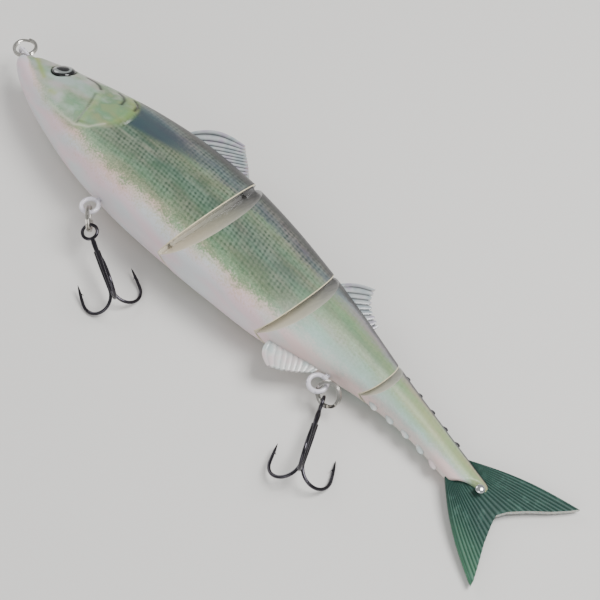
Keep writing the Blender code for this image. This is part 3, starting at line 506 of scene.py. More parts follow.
def worn_metal(name, bright, dull, roughness):
    """Plated steel wire: smooth plating with faint cloudy handling marks in its gloss."""
    material, tree, shader = new_material(name, Metallic=1.0)
    place = add_node(tree, "TexCoord", output="Object")
    cloud = add_node(tree, "TexNoise", {"Vector": place, "Scale": 1.0 / (4.0 * MM), "Detail": 2.0})
    colour = add_node(tree, "Mix", {0: cloud, 6: dull, 7: bright}, **MIX)
    tree.links.new(colour, shader.inputs["Base Color"])
    gloss = add_node(tree, "MapRange", (cloud, 0.35, 0.7, roughness * 0.7, roughness * 1.5))
    tree.links.new(gloss, shader.inputs["Roughness"])
    return material


def painted_wire():
    """Steel wire sprayed with the body's pearl: thick soft gloss with tiny chips of grey."""
    material, tree, shader = new_material(
        "pearl_painted_wire", Roughness=0.28, IOR=1.5, Coat_Weight=0.7, Coat_Roughness=0.08)
    place = add_node(tree, "TexCoord", output="Object")
    cloud = add_node(tree, "TexNoise", {"Vector": place, "Scale": 1.0 / (1.1 * MM), "Detail": 4.0})
    colour = add_node(tree, "ValToRGB", (cloud,), stops=(
        (0.30, "#8e8b92"), (0.38, "#c9c6cf"), (0.6, "#d7d3da"), (0.75, "#cfd2d6")))
    tree.links.new(colour, shader.inputs["Base Color"])
    return material


def printed_eye(name, **gloss):
    """Printed foil: silver iris with fine radial brushing, a black oval pupil and a dark edge. The
    resin dome carries the same print, which it magnifies to its whole surface."""
    material, tree, shader = new_material(name, Roughness=0.22, Metallic=0.4, **gloss)
    iris = add_node(tree, "Attribute", output="Vector", attribute_name="iris")
    along_eye, across_eye, _depth = add_node(tree, "SeparateXYZ", (iris,), EVERY_OUTPUT)
    spokes = add_node(tree, "Math", (across_eye, along_eye), operation="ARCTAN2")
    spokes = add_node(tree, "Math", (spokes, PRINTED_SPOKES), operation="MULTIPLY")
    spokes = add_node(tree, "Math", (spokes,), operation="SINE")
    spokes = add_node(tree, "MapRange", (spokes, -1.0, 1.0))
    silver = add_node(tree, "Mix", {0: spokes, 6: "#6f7676", 7: "#a3a7a3"}, **MIX)
    oval = add_node(tree, "VectorMath", (iris, [1.0 / radius for radius in PUPIL]), operation="MULTIPLY")
    oval = add_node(tree, "VectorMath", (oval,), "Value", operation="LENGTH")
    pupil = add_node(tree, "MapRange", (oval, 0.95, 1.05, 1.0, 0.0))
    span = add_node(tree, "VectorMath", (iris,), "Value", operation="LENGTH")
    edge = add_node(tree, "MapRange", (span, 3.0, 3.35))
    dark = add_node(tree, "Math", (pupil, edge), operation="MAXIMUM")
    colour = add_node(tree, "Mix", {0: dark, 6: silver, 7: "#0d0d0f"}, **MIX)
    tree.links.new(colour, shader.inputs["Base Color"])
    return material


def cast_lead():
    """Cast lead, dull and frosted; it is sealed inside the body."""
    return worn_metal("cast_lead", "#8a8b8f", "#5f6064", 0.5)


# ---------------------------------------------------------------- pieces

def store(mesh, name, values):
    """Keep three values at each point of a mesh."""
    layer = mesh.attributes.new(name, "FLOAT_VECTOR", "POINT")
    layer.data.foreach_set("vector", [part for value in values for part in value])


def finish_piece(name, shape, materials, place, body, replaced=(), points=None, sharp=38.0):
    """Turn a shape in millimetres into a placed object that rides on a body."""
    bmesh.ops.recalc_face_normals(shape, faces=shape.faces)
    mesh = bpy.data.meshes.new(name)
    shape.to_mesh(mesh)
    shape.free()
    for label, function in (points or {}).items():
        store(mesh, label, [function(vert.co) for vert in mesh.vertices])
    if "fish" not in mesh.attributes:
        store(mesh, "fish", [vert.co for vert in mesh.vertices])
    mesh.transform(place)
    mesh.shade_smooth()
    mesh.set_sharp_from_angle(angle=math.radians(sharp))
    for material in materials:
        mesh.materials.append(material)
    piece = bpy.data.objects.new(name, mesh)
    bpy.context.scene.collection.objects.link(piece)
    if body:
        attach(piece, body)
    if replaced:
        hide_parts(*replaced)
    return piece


def made_verts(result):
    return [item for item in result["geom"] if isinstance(item, bmesh.types.BMVert)]


def made_edges(result):
    return [item for item in result["geom"] if isinstance(item, bmesh.types.BMEdge)]


def sweep(shape, points, radii, sides=14):
    """Draw a round wire through points by extruding a circle, closed at both ends."""
    points = [Vector(point) for point in points]
    heading = (points[1] - points[0]).normalized()
    turn = heading.to_track_quat("Z", "Y").to_matrix().to_4x4()
    first = bmesh.ops.create_circle(shape, cap_ends=True, segments=sides, radius=radii[0],
                                    matrix=Matrix.Translation(points[0]) @ turn)["verts"]
    edges = list({edge for vert in first for edge in vert.link_edges})
    facing = heading
    for index in range(1, len(points)):
        grown = bmesh.ops.extrude_edge_only(shape, edges=edges)
        verts, edges = made_verts(grown), made_edges(grown)
        if index + 1 < len(points):
            heading = (points[index + 1] - points[index]).normalized()
            onward = ((points[index] - points[index - 1]).normalized() + heading).normalized()
        else:
            onward = heading
        swing = facing.rotation_difference(onward)
        facing = onward
        for vert in verts:
            arm = swing @ (vert.co - points[index - 1])
            vert.co = points[index] + arm * (radii[index] / radii[index - 1])
    bmesh.ops.contextual_create(shape, geom=edges)


def spun(shape, profile, place, steps=48):
    """Spin a closed outline of (radius, height) into a ring or a solid and lay it in place."""
    verts = [shape.verts.new((radius, 0.0, height)) for radius, height in profile]
    edges = [shape.edges.new(pair) for pair in zip(verts, verts[1:] + verts[:1])]
    bmesh.ops.spin(shape, geom=verts + edges, cent=(0, 0, 0), axis=(0, 0, 1),
                   angle=2 * math.pi, steps=steps, use_merge=True)
    bmesh.ops.remove_doubles(shape, verts=shape.verts, dist=1e-4)
    bmesh.ops.transform(shape, matrix=place, verts=shape.verts)


def facing_axis(centre, axis):
    """A matrix that moves the origin to a centre and turns Z to an axis."""
    return Matrix.Translation(centre) @ Vector(axis).to_track_quat("Z", "Y").to_matrix().to_4x4()


def wire_outline(radius, wire, sides=14):
    return [(radius + wire * math.cos(2 * math.pi * index / sides),
             wire * math.sin(2 * math.pi * index / sides)) for index in range(sides)]


def body_end(index, slope, lead):
    """A V face across the body: its distance from the jaw for a half width."""
    return lambda half: RECESS_APEX[index] + lead + slope * half


SECTIONS = {
    "head": (None, body_end(0, RECESS_SLOPE, 0.0), 230, 104),
    "mid": (body_end(0, NOSE_SLOPE, NOSE_AFTER_APEX), body_end(1, RECESS_SLOPE, 0.0), 90, 84),
    "rear": (body_end(1, NOSE_SLOPE, NOSE_AFTER_APEX), body_end(2, RECESS_SLOPE, 0.0), 80, 72),
    "tail": (body_end(2, NOSE_SLOPE, NOSE_AFTER_APEX), lambda half: BODY_END, 110, 56),
}


def eye_seat():
    """Centre of the left eye on the cheek and the way it faces."""
    widest = along(BODY, WIDEST, EYE_STATION)
    angle = math.asin((EYE_HEIGHT - widest) / (along(BODY, BACK, EYE_STATION) - widest))

    def at(place, turn):
        height, half = section_point(place, turn)
        return Vector((place, height, half))

    length = at(EYE_STATION + 1.0, angle) - at(EYE_STATION - 1.0, angle)
    girth = at(EYE_STATION, angle + 0.05) - at(EYE_STATION, angle - 0.05)
    return at(EYE_STATION, angle), length.cross(girth).normalized()


EYE_CENTRE, EYE_NORMAL = eye_seat()


def from_eye(place, height, half):
    """Distance of a point from the axis of the eye."""
    arm = Vector((place, height, half)) - EYE_CENTRE
    return (arm - EYE_NORMAL * arm.dot(EYE_NORMAL)).length


def from_jaw_line(place, height):
    return abs(height - MOUTH_HEIGHT + 0.22 * max(place - 2.0, 0.0))


def head_relief(place, height, half):
    """How far the skin of the head stands out or in, in millimetres."""
    if place > 66.0:
        return 0.0
    out = -0.30 * line_mask(CHEEK_FOLD, place, height, 0.42)
    for fold in (BROW_FOLD, NAPE_FOLD, EAR_FOLD):
        out -= 0.26 * line_mask(fold, place, height, 0.52)
    out -= 0.34 * line_mask(GILL_COVER, place, height, 0.55)
    # The gill cover stands up towards its rear edge
    edge = 62.0 - 0.075 * (height - 1.8) ** 2
    cover = smooth(45.0, edge - 1.0, place) * (1.0 - smooth(edge - 0.6, edge + 0.4, place))
    out += 0.42 * cover * smooth(-11.0, -7.0, height) * (1.0 - smooth(9.0, 13.0, height))
    # The jaw line, deeper towards the mouth
    depth = 0.9 * (1.0 - smooth(3.0, 8.5, place)) + 0.12 * (1.0 - smooth(9.0, 17.0, place))
    out -= depth * math.exp(-((from_jaw_line(place, height) / 0.5) ** 2))
    # The eye socket and its raised rim
    span = from_eye(place, height, half)
    out -= 1.5 * (1.0 - smooth(EYE_RADIUS - 0.1, EYE_RADIUS + 0.25, span))
    out += 0.22 * math.exp(-(((span - EYE_RADIUS - 0.75) / 0.5) ** 2))
    return out * smooth(0.0, 1.2, half)


def paint_at(point):
    """Paint band (0 at the white border, 1 at the grey one, 2 on the back), slate patch, cheek."""
    place, height, half = point.x, point.y, abs(point.z)
    white, grey = along(BORDERS, WHITE_TOP, place), along(BORDERS, GREY_BOTTOM, place)
    top = max(along(BODY, BACK, place), grey + 1.0)
    if height > grey:
        band = 1.0 + (height - grey) / (top - grey)
    else:
        band = max((height - white) / (grey - white), -1.0)
    edge = 61.5 - 0.06 * (height - 1.5) ** 2
    lower = 1.2 + (place - 62.0) * 0.21
    upper = 10.5 - (place - 62.0) * 0.045
    slate = smooth(edge - 0.6, edge + 1.2, place) * (1.0 - smooth(74.0, 100.0, place))
    slate *= smooth(lower - 1.4, lower + 1.4, height) * (1.0 - smooth(upper - 1.6, upper + 2.6, height))
    cheek = 1.0 - smooth(edge - 3.0, edge + 0.5, place)
    thin = smooth(0.0, 0.6, half)
    return band, slate * thin, cheek


def marks_at(point):
    """Dark folds, cream streaks of painted highlight and yellow-green mist."""
    place, height, half = point.x, point.y, abs(point.z)
    if place > 106.0:
        return 0.0, 0.0, 0.0
    dark = 0.62 * line_mask(CHEEK_FOLD, place, height, 0.42)
    for fold in (BROW_FOLD, NAPE_FOLD, EAR_FOLD):
        dark = max(dark, line_mask(fold, place, height, 0.52))
    span = from_eye(place, height, half)
    dark = max(dark, math.exp(-(((span - EYE_RADIUS - 0.15) / 0.3) ** 2)))
    jaw = math.exp(-((from_jaw_line(place, height) / 0.4) ** 2))
    dark = max(dark, 0.9 * jaw * (1.0 - smooth(3.5, 7.5, place)))
    # Cream streaks are painted highlights; the pale flank line is partly the lateral line, partly a painted
    # glint
    cream = max(line_mask(streak, place, height, 0.4) for streak in HIGHLIGHT_STREAKS)
    cream = max(cream, 0.4 * line_mask(GILL_COVER, place, height, 0.5) * smooth(0.0, -6.0, height))
    cream = max(cream, 0.4 * line_mask(FLANK_LINE, place, height, 0.28))
    green = line_mask(((10.0, 0.6), (16.0, -2.0), (22.5, -4.6)), place, height, 1.0)
    green = max(green, 0.8 * line_mask(((30.0, -7.2), (32.4, -7.0)), place, height, 1.0))
    green = max(green, 0.6 * line_mask(GILL_COVER, place + 2.2, height, 2.2) * smooth(-6.0, 2.0, height))
    green = max(green, 0.5 * line_mask(CHEEK_FOLD, place - 1.6, height, 1.6))
    return dark, cream, green


def fish_at(point):
    """Distance from the jaw, height, and the way round the girth from the widest line."""
    place, height, half = point
    widest = along(BODY, WIDEST, place)
    reach = 0.5 * (along(BODY, HALF, place) + abs(along(BODY, BACK, place) - widest))
    return place, height, math.atan2(height - widest, abs(half) + 1e-6) * reach


def half_skin(body):
    """One half of a section's skin: a grid bent to the body's shape, its joint faces pulled in to
    the middle plane, and the middle plane closed."""
    front, rear, columns, rows = SECTIONS[body]
    shape = bmesh.new()
    bmesh.ops.create_grid(shape, x_segments=columns, y_segments=rows, size=0.5)
    ends = {"front": [], "rear": []}
    for edge in shape.edges:
        middle = (edge.verts[0].co.x + edge.verts[1].co.x) / 2
        if abs(middle) > 0.4999:
            ends["front" if middle < 0 else "rear"].append(edge)
    for vert in shape.verts:
        share, angle = vert.co.x + 0.5, math.pi * vert.co.y
        start, end = 0.0, BODY_END
        if body == "tail":
            end -= WRIST_RAKE * (0.5 - 0.5 * math.sin(angle))
        if front is None:
            rise, _half = section_point(8.0, angle)
            start = UPPER_SNOUT * smooth(MOUTH_HEIGHT - 0.35, MOUTH_HEIGHT + 0.15, rise)
            share = share**1.25
        half = 0.0
        for _ in range(8):
            first = start if front is None else front(half)
            last = end if body == "tail" else rear(half)
            place = first * (1.0 - share) + last * share
            height, half = section_point(place, angle, start, end)
        if body == "head":
            out = Vector((height - along(BODY, WIDEST, place), half))
            out = out.normalized() * head_relief(place, height, half) if out.length > 1e-6 else out
            height, half = height + out.x, max(half + out.y, 0.0)
        vert.co = (place, height, half)

    if body != "tail":
        rim = bmesh.ops.extrude_edge_only(shape, edges=ends["rear"])
        for vert in made_verts(rim):
            depth = min(RIM_DEPTH, vert.co.z)
            vert.co += Vector((RIM_REACH * depth / RIM_DEPTH, 0.0, -depth))
        for edge in made_edges(rim):
            for face in edge.link_faces:
                face.material_index = 2
        pull_in(shape, made_edges(rim), rear(0.0))
    if front is not None:
        pull_in(shape, ends["front"], front(0.0))
    bmesh.ops.remove_doubles(shape, verts=shape.verts, dist=1e-4)
    bmesh.ops.holes_fill(shape, edges=[edge for edge in shape.edges if edge.is_boundary], sides=0)
    return shape


def pull_in(shape, edges, apex):
    """Carry a joint face from the skin's edge in to the upright line where its V turns."""
    wall = bmesh.ops.extrude_edge_only(shape, edges=edges)
    for vert in made_verts(wall):
        vert.co.x, vert.co.z = apex, 0.0
    for edge in made_edges(wall):
        for face in edge.link_faces:
            face.material_index = 1


def build_skins(props):
    paint, face, rim = flank_paint(props), joint_plastic(), rim_plastic()
    points = {"fish": fish_at, "paint": paint_at, "marks": marks_at}
    for body in SECTIONS:
        left = half_skin(body)
        right = left.copy()
        bmesh.ops.scale(right, verts=right.verts, vec=(1.0, 1.0, -1.0))
        for (side, _sign), shape in zip(SIDES, (left, right)):
            finish_piece(f"{body}_skin_{side}", shape, (paint, face, rim), PLACES[body], body,
                         (f"{body}_shell_{side}",), points)


def finlet_row(shape, edge, sign, size):
    """Five small raked finlets along the back or belly of the tail section."""
    for place in FINLET_STATIONS:
        lump = bmesh.ops.create_uvsphere(shape, u_segments=20, v_segments=12, radius=1.0)["verts"]
        bmesh.ops.scale(shape, verts=lump, vec=(1.85 * size, 1.5 * size, 0.95 * size))
        for vert in lump:
            outward = max(vert.co.y * sign, 0.0)
            vert.co.x += 0.55 * outward
            vert.co.z *= 1.0 - 0.3 * outward
        root = along(BODY, edge, place) - 0.2 * sign
        bmesh.ops.translate(shape, verts=lump, vec=(place, root, 0.0))


def build_finlets():
    # The finlets on the back carry the dusky overspray of the back, those below are plain pearl
    dusk = new_material("dusky_finlet_abs", Roughness=0.35, Base_Color=linear("#2c2b2d"))[0]
    for name, edge, sign, size, material in (("belly_finlets", BELLY, -1.0, 1.0, anal_fin_plastic()),
                                             ("back_finlets", BACK, 1.0, 0.7, dusk)):
        shape = bmesh.new()
        finlet_row(shape, edge, sign, size)
        finish_piece(name, shape, (material,), PLACES["tail"], "tail",
                     points={"ray": lambda point: (0.0, 0.0, 0.0)})


# Fins: the line that the rays grow from, the line that they end on, the number of rays, half the
# thickness at the root and at the edge, how far the rays stand out at the edge, and how it bulges
FINS = {
    "front_dorsal_fin": ("head", ((67.0, 17.0), (75.0, 19.0), (85.0, 20.0), (96.6, 20.2)),
                         ((85.4, 30.9), (88.6, 28.6), (93.4, 25.6), (98.2, 21.9)),
                         11, 0.8, 0.5, 1.5, 0.2),
    "rear_dorsal_fin": ("rear", ((147.2, 17.2), (152.0, 16.4), (158.0, 15.2), (165.6, 13.8)),
                        ((156.0, 25.3), (157.6, 22.0), (160.8, 19.2), (166.6, 16.8)),
                        8, 0.8, 0.45, 1.2, 0.1),
    "anal_fin": ("rear", ((164.6, -6.0), (160.0, -7.6), (154.0, -9.6), (148.6, -11.4)),
                 ((165.6, -9.4), (162.4, -13.0), (158.6, -16.4), (155.0, -18.6)),
                 9, 0.8, 0.45, 0.25, 0.22),
}


def on_line(line, share):
    """A point a given share of the way along a bent line."""
    steps = [(Vector(b) - Vector(a)).length for a, b in zip(line, line[1:])]
    left = share * sum(steps)
    for index, step in enumerate(steps):
        if left <= step or index == len(steps) - 1:
            return Vector(line[index]).lerp(Vector(line[index + 1]), min(left / step, 1.0))
        left -= step


def rayed_plate(base, outer, rays, root_half, edge_half, serration, bulge, relief=0.34, columns=30):
    """A fin as a grid between two lines, ribbed by its rays, given its thickness by an extrusion.

    Each point's ray values are: depth in a groove, share from base to edge, and groove shade strength."""
    shape = bmesh.new()
    bmesh.ops.create_grid(shape, x_segments=columns, y_segments=rays * 10, size=0.5)
    values = shape.verts.layers.float_vector.new("ray")
    for vert in shape.verts:
        reach, across = vert.co.x + 0.5, vert.co.y + 0.5
        wave = abs(math.cos(math.pi * rays * across))
        groove = (1.0 - wave) ** 1.3
        inner, outermost = on_line(base, across), on_line(outer, across)
        step_out = serration * (wave - 0.6) * smooth(0, 1, reach)
        outermost = outermost + (outermost - inner).normalized() * step_out
        spot = inner.lerp(outermost, reach)
        lean = (outermost - inner).normalized()
        bow = bulge * (outermost - inner).length * math.sin(math.pi * reach)
        spot += Vector((-lean.y, lean.x)) * bow * (1.0 - 2.0 * across) ** 3
        half = root_half * (1.0 - reach) + edge_half * reach
        rim = min(across, 1.0 - across) * rays
        half *= (1.0 - relief * groove) * (0.55 + 0.45 * smooth(0.0, 0.35, rim))
        vert.co = (spot.x, spot.y, half)
        vert[values] = (groove, reach, smooth(0.02, 0.2, reach))
    thick = bmesh.ops.extrude_face_region(shape, geom=list(shape.faces))
    for vert in made_verts(thick):
        vert.co.z = -vert.co.z
    for face in shape.faces:
        face.normal_update()
        sides = [abs(vert.co.z) for vert in face.verts]
        signs = {vert.co.z > 0 for vert in face.verts}
        if len(signs) == 2 and max(sides) > 0 and min(vert[values][1] for vert in face.verts) > 0.98:
            face.material_index = 1
    return shape


def build_fins(props):
    deep_groove_shade, plain = dorsal_fin_plastic(props), anal_fin_plastic()
    for name, (body, base, outer, rays, root, edge, serration, bulge) in FINS.items():
        material = plain if name == "anal_fin" else deep_groove_shade
        shape = rayed_plate(base, outer, rays, root, edge, serration, bulge)
        finish_piece(f"{name}_rayed", shape, (material, plain), PLACES[body], body, (name,))


TAIL_ROOT = ((214.6, 4.9), (213.6, 2.2), (214.6, -0.9))
TAIL_EDGE = ((249.6, 20.6), (248.0, 18.0), (244.4, 13.2), (240.0, 8.4), (236.4, 3.6), (235.0, 0.4),
             (236.0, -2.6), (238.8, -8.6), (242.0, -14.0), (244.6, -18.6), (245.2, -20.4))


def build_tail(props):
    """The forked tail: one soft moulding with fanned rays, on its pin."""
    shape = rayed_plate(TAIL_ROOT, TAIL_EDGE, 26, 1.0, 0.9, 0.12, 0.045, 0.2, 60)
    piece = finish_piece("soft_forked_tail", shape, (tail_rubber(props), tail_edge()), PLACES["tail"],
                         None, ("tail_fin_root", "tail_fin_blade"))
    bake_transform(piece)
    wrist = section_point(TAIL_PIN[0], 0.4)[1] + 0.62
    dome = [(1.5 * math.sin(math.radians(a)), -wrist - 0.8 * math.cos(math.radians(a)))
            for a in range(15, 91, 15)]
    dome = [(0.0, -wrist - 0.8)] + dome + [(0.8, -wrist + 0.1)]
    outline = dome + [(radius, -height) for radius, height in reversed(dome)]
    pin = bmesh.new()
    spun(pin, outline, Matrix.Translation((TAIL_PIN[0], TAIL_PIN[1], 0.0)), 32)
    finish_piece("tail_pin_domed", pin, (worn_metal("polished_pin_steel", "#e8eaea", "#b9bdbd", 0.14),),
                 PLACES["tail"], "tail", ("tail_pin",))


def build_eyes():
    foil = printed_eye("printed_silver_foil")
    resin = printed_eye("printed_resin_dome", Coat_Weight=0.6, Coat_Roughness=0.05)
    for side, sign in SIDES:
        centre = Vector((EYE_CENTRE.x, EYE_CENTRE.y, EYE_CENTRE.z * sign))
        out = Vector((EYE_NORMAL.x, EYE_NORMAL.y, EYE_NORMAL.z * sign))
        low = centre - out * EYE_SINK
        seat = facing_axis(low, out)
        shape = bmesh.new()
        spun(shape, [(0.0, 0.0), (EYE_RADIUS - 0.1, 0.0), (EYE_RADIUS - 0.1, 0.35),
                     (EYE_RADIUS - 0.4, 0.5), (2.8, 0.5), (1.4, 0.5), (0.0, 0.5)], seat, 96)
        length = Vector((1.0, 0.0, 0.0))
        length = (length - out * length.dot(out)).normalized()
        upright = out.cross(length) * sign

        def iris_at(point, low=low, length=length, upright=upright):
            arm = Vector(point) - low
            return arm.dot(length), arm.dot(upright) + EYE_GAZE, 0.0

        spokes = [edge for edge in shape.edges if edge.calc_length() > 0.8]
        bmesh.ops.subdivide_edges(shape, edges=spokes, cuts=4, use_grid_fill=True)
        finish_piece(f"foil_eye_{side}", shape, (foil,), PLACES["head"], "head",
                     (f"eye_disc_{side}",), {"iris": iris_at})
        dome = [(0.0, 0.56), (EYE_RADIUS - 0.1, 0.56), (EYE_RADIUS, 0.8)]
        dome += [(EYE_RADIUS * math.cos(math.radians(a)), 0.85 + 1.55 * math.sin(math.radians(a)))
                 for a in range(6, 90, 6)] + [(0.0, 2.4)]
        shape = bmesh.new()
        spun(shape, dome, seat, 64)
        finish_piece(f"domed_eye_{side}", shape, (resin,), PLACES["head"], "head",
                     (f"eye_dome_{side}",), {"iris": iris_at})


def split_ring(props, name, place, centre, axis, body, steel, replaced):
    """A split ring wound from flat wire: one turn, a jog over the gap, and a second turn on top."""
    mean, wide = props.ring_radius / MM, props.ring_wire / MM
    flat, lift, soft = wide * 0.56, wide * 0.62, 0.16
    outline = [(wide / 2, -flat / 2 + soft), (wide / 2, flat / 2 - soft), (wide / 2 - soft, flat / 2),
               (soft - wide / 2, flat / 2), (-wide / 2, flat / 2 - soft), (-wide / 2, soft - flat / 2),
               (soft - wide / 2, -flat / 2), (wide / 2 - soft, -flat / 2)]
    shape = bmesh.new()
    verts = [shape.verts.new((mean + across, 0.0, height - lift / 2)) for across, height in outline]
    geom = [shape.faces.new(verts)]
    geom += list(geom[0].verts) + list(geom[0].edges)
    for turns, climb, steps in ((0.86, 0.0, 52), (0.12, lift, 10), (0.86, 0.0, 52)):
        geom = bmesh.ops.spin(shape, geom=geom, cent=(0, 0, 0), axis=(0, 0, 1), steps=steps,
                              angle=2 * math.pi * turns, dvec=(0.0, 0.0, climb / steps))["geom_last"]
    bmesh.ops.transform(shape, matrix=facing_axis(centre, axis), verts=shape.verts)
    finish_piece(name, shape, (steel,), place, body, (replaced,))


def wire_eye(name, place, centre, axis, radius, wire, stem, body, material, replaced):
    """A painted eye of thick wire whose two legs run side by side into the body."""
    shape = bmesh.new()
    spun(shape, wire_outline(radius, wire), facing_axis(centre, axis), 56)
    way = Vector(stem).normalized()
    side = way.cross(Vector(axis)).normalized() * wire * 0.35
    for sign in (1.0, -1.0):
        start = Vector(centre) + way * (radius - 0.1) + side * sign
        sweep(shape, (start, start + way * 1.6, Vector(centre) + Vector(stem) + side * sign),
              (wire * 0.8,) * 3)
    finish_piece(name, shape, (material,), place, body, (replaced,))


def hook_prong(shape, props, turn):
    """One J of tapering wire with its barb, from the shank round the bend to the needle point."""
    wire, gape, length = props.hook_wire / MM, props.hook_gape / MM, props.hook_length / MM
    inner = gape - 2 * HOOK_BEND
    bend = length - HOOK_BEND
    beside = 0.62
    path = [(bend * 0.34, beside), (bend * 0.62, beside),
            (bend * 0.8, beside + (inner - beside) * 0.45), (bend, inner)]
    for degrees in range(10, 180, 10):
        a = math.radians(degrees)
        path.append((bend + HOOK_BEND * math.sin(a), inner + HOOK_BEND * (1 - math.cos(a))))
    point_start = length - HOOK_POINT_RISE
    path += [(bend, gape), (bend - 2.4, gape - 0.12), (point_start + 2.6, gape - 0.3),
             (point_start + 1.2, gape - 0.4), (point_start, gape - 0.5)]
    radii = [wire] * (len(path) - 4) + [wire * 0.96, wire * 0.8, wire * 0.5, wire * 0.07]
    spin_out = Matrix.Rotation(turn, 3, "X")
    sweep(shape, [spin_out @ Vector((x, 0.0, out)) for x, out in path], radii)
    barb = ((point_start + 3.9, gape - 0.34), (point_start + 3.5, gape - 0.75),
            (point_start + 4.3, gape - 1.25))
    sweep(shape, [spin_out @ Vector((x, 0.0, out)) for x, out in barb],
          (wire * 0.7, wire * 0.5, wire * 0.08), 10)


def treble_hook(props, name, place, eye, way, eye_axis, body, steel, replaced):
    """Three brazed prongs on one shank with a ringed eye; the third prong points up."""
    forward = Vector(way).normalized()
    upward = (Vector((0, 0, 1)) - forward * forward.z).normalized()
    turn = Matrix((forward, upward.cross(forward), upward)).transposed().to_4x4()
    wire, hole = props.hook_wire / MM, props.hook_eye / MM
    shape = bmesh.new()
    for index in range(3):
        hook_prong(shape, props, math.radians(120.0 * index))
    sweep(shape, ((hole - 0.1, 0, 0), (hole + 1.6, 0, 0), (props.hook_length / MM * 0.5, 0, 0),
                  (props.hook_length / MM * 0.6, 0, 0)), (wire * 1.1, wire * 1.5, wire * 1.25, wire * 0.7))
    bmesh.ops.transform(shape, matrix=Matrix.Translation(eye) @ turn, verts=shape.verts)
    flat = Vector(eye_axis)
    flat = (flat - forward * flat.dot(forward)).normalized()
    loop = bmesh.new()
    spun(loop, wire_outline(hole, wire), facing_axis(eye, flat), 44)
    spare = bpy.data.meshes.new("hook_eye_loop")
    loop.to_mesh(spare)
    loop.free()
    shape.from_mesh(spare)
    bpy.data.meshes.remove(spare)
    finish_piece(name, shape, (steel,), place, body, (replaced,))


# How each ring and hook lies: where it touches its hanger, its axis, and the way it points
TACKLE = {
    "front": ("head", FRONT_HANGER, (0.749, -0.662, 0.0), (0.662, 0.749, 0.0), (0.61, -0.54, -0.58),
              (0.61, -0.54, -0.58), (0.91, -0.33, -0.23)),
    "rear": ("rear", REAR_HANGER, (1.0, 0.0, 0.0), (0.0, -0.8, 0.6), (1.0, 0.0, 0.0),
             (0.0, -0.6, -0.8), (0.53, -0.84, 0.15)),
}


def build_tackle(props):
    nickel = worn_metal("bright_nickel_wire", "#d9d6cf", "#a8a59d", 0.16)
    black = worn_metal("black_nickel_wire", "#4a484d", "#3c3a3f", 0.2)
    pearl = painted_wire()
    mean, wide = props.ring_radius / MM, props.ring_wire / MM
    for which, (section, hanger, touch, axis, ring_way, hook_touch, hook_way) in TACKLE.items():
        place = PLACES[section]
        wire_eye(f"{which}_hanger_painted", place, hanger, (0, 0, 1), HANGER_RING, HANGER_WIRE,
                 (0, HANGER_STEM, 0), section, pearl, f"{which}_hanger")
        slack = mean - wide / 2 - HANGER_WIRE - LINK_CLEARANCE
        centre = hanger + Vector(touch) * HANGER_RING + Vector(ring_way).normalized() * slack
        split_ring(props, f"{which}_split_ring_coiled", place, centre, axis, f"{which}_ring", nickel,
                   f"{which}_split_ring")
        hook_touch, hook_way = Vector(hook_touch).normalized(), Vector(hook_way).normalized()
        contact = centre + hook_touch * mean
        treble_hook(props, f"{which}_treble_barbed", place, contact + hook_way * HOOK_EYE_SLACK, hook_way,
                    Vector(axis).cross(hook_touch), f"{which}_hook", black, f"{which}_treble_hook")
    wire_eye("line_tie_painted", PLACES["head"], LINE_TIE, (0, 1, 0), LINE_TIE_RING, LINE_TIE_WIRE,
             (LINE_TIE_STEM, 0, 0), "head", pearl, "line_tie")
    slack = mean - wide / 2 - LINE_TIE_WIRE - LINK_CLEARANCE
    centre = LINE_TIE + Vector((-LINE_TIE_RING, 0, 0)) + Vector((-0.1, 0.995, 0)).normalized() * slack
    split_ring(props, "nose_split_ring_coiled", PLACES["head"], centre, (0, 0, 1), "nose_ring", nickel,
               "nose_split_ring")


def dress_frame():
    """Finish the CAD parts that are kept: joint pins, hinge eyes and the sealed lead."""
    steel = worn_metal("drawn_pin_steel", "#cfd0ce", "#9a9b99", 0.2)
    lead = cast_lead()
    for name, node in frame["nodes"].items():
        if name.startswith("joint_") or name.endswith("_ballast"):
            material = lead if name.endswith("_ballast") else steel
            for slot in node.material_slots:
                slot.material = material


# ---------------------------------------------------------------- stage

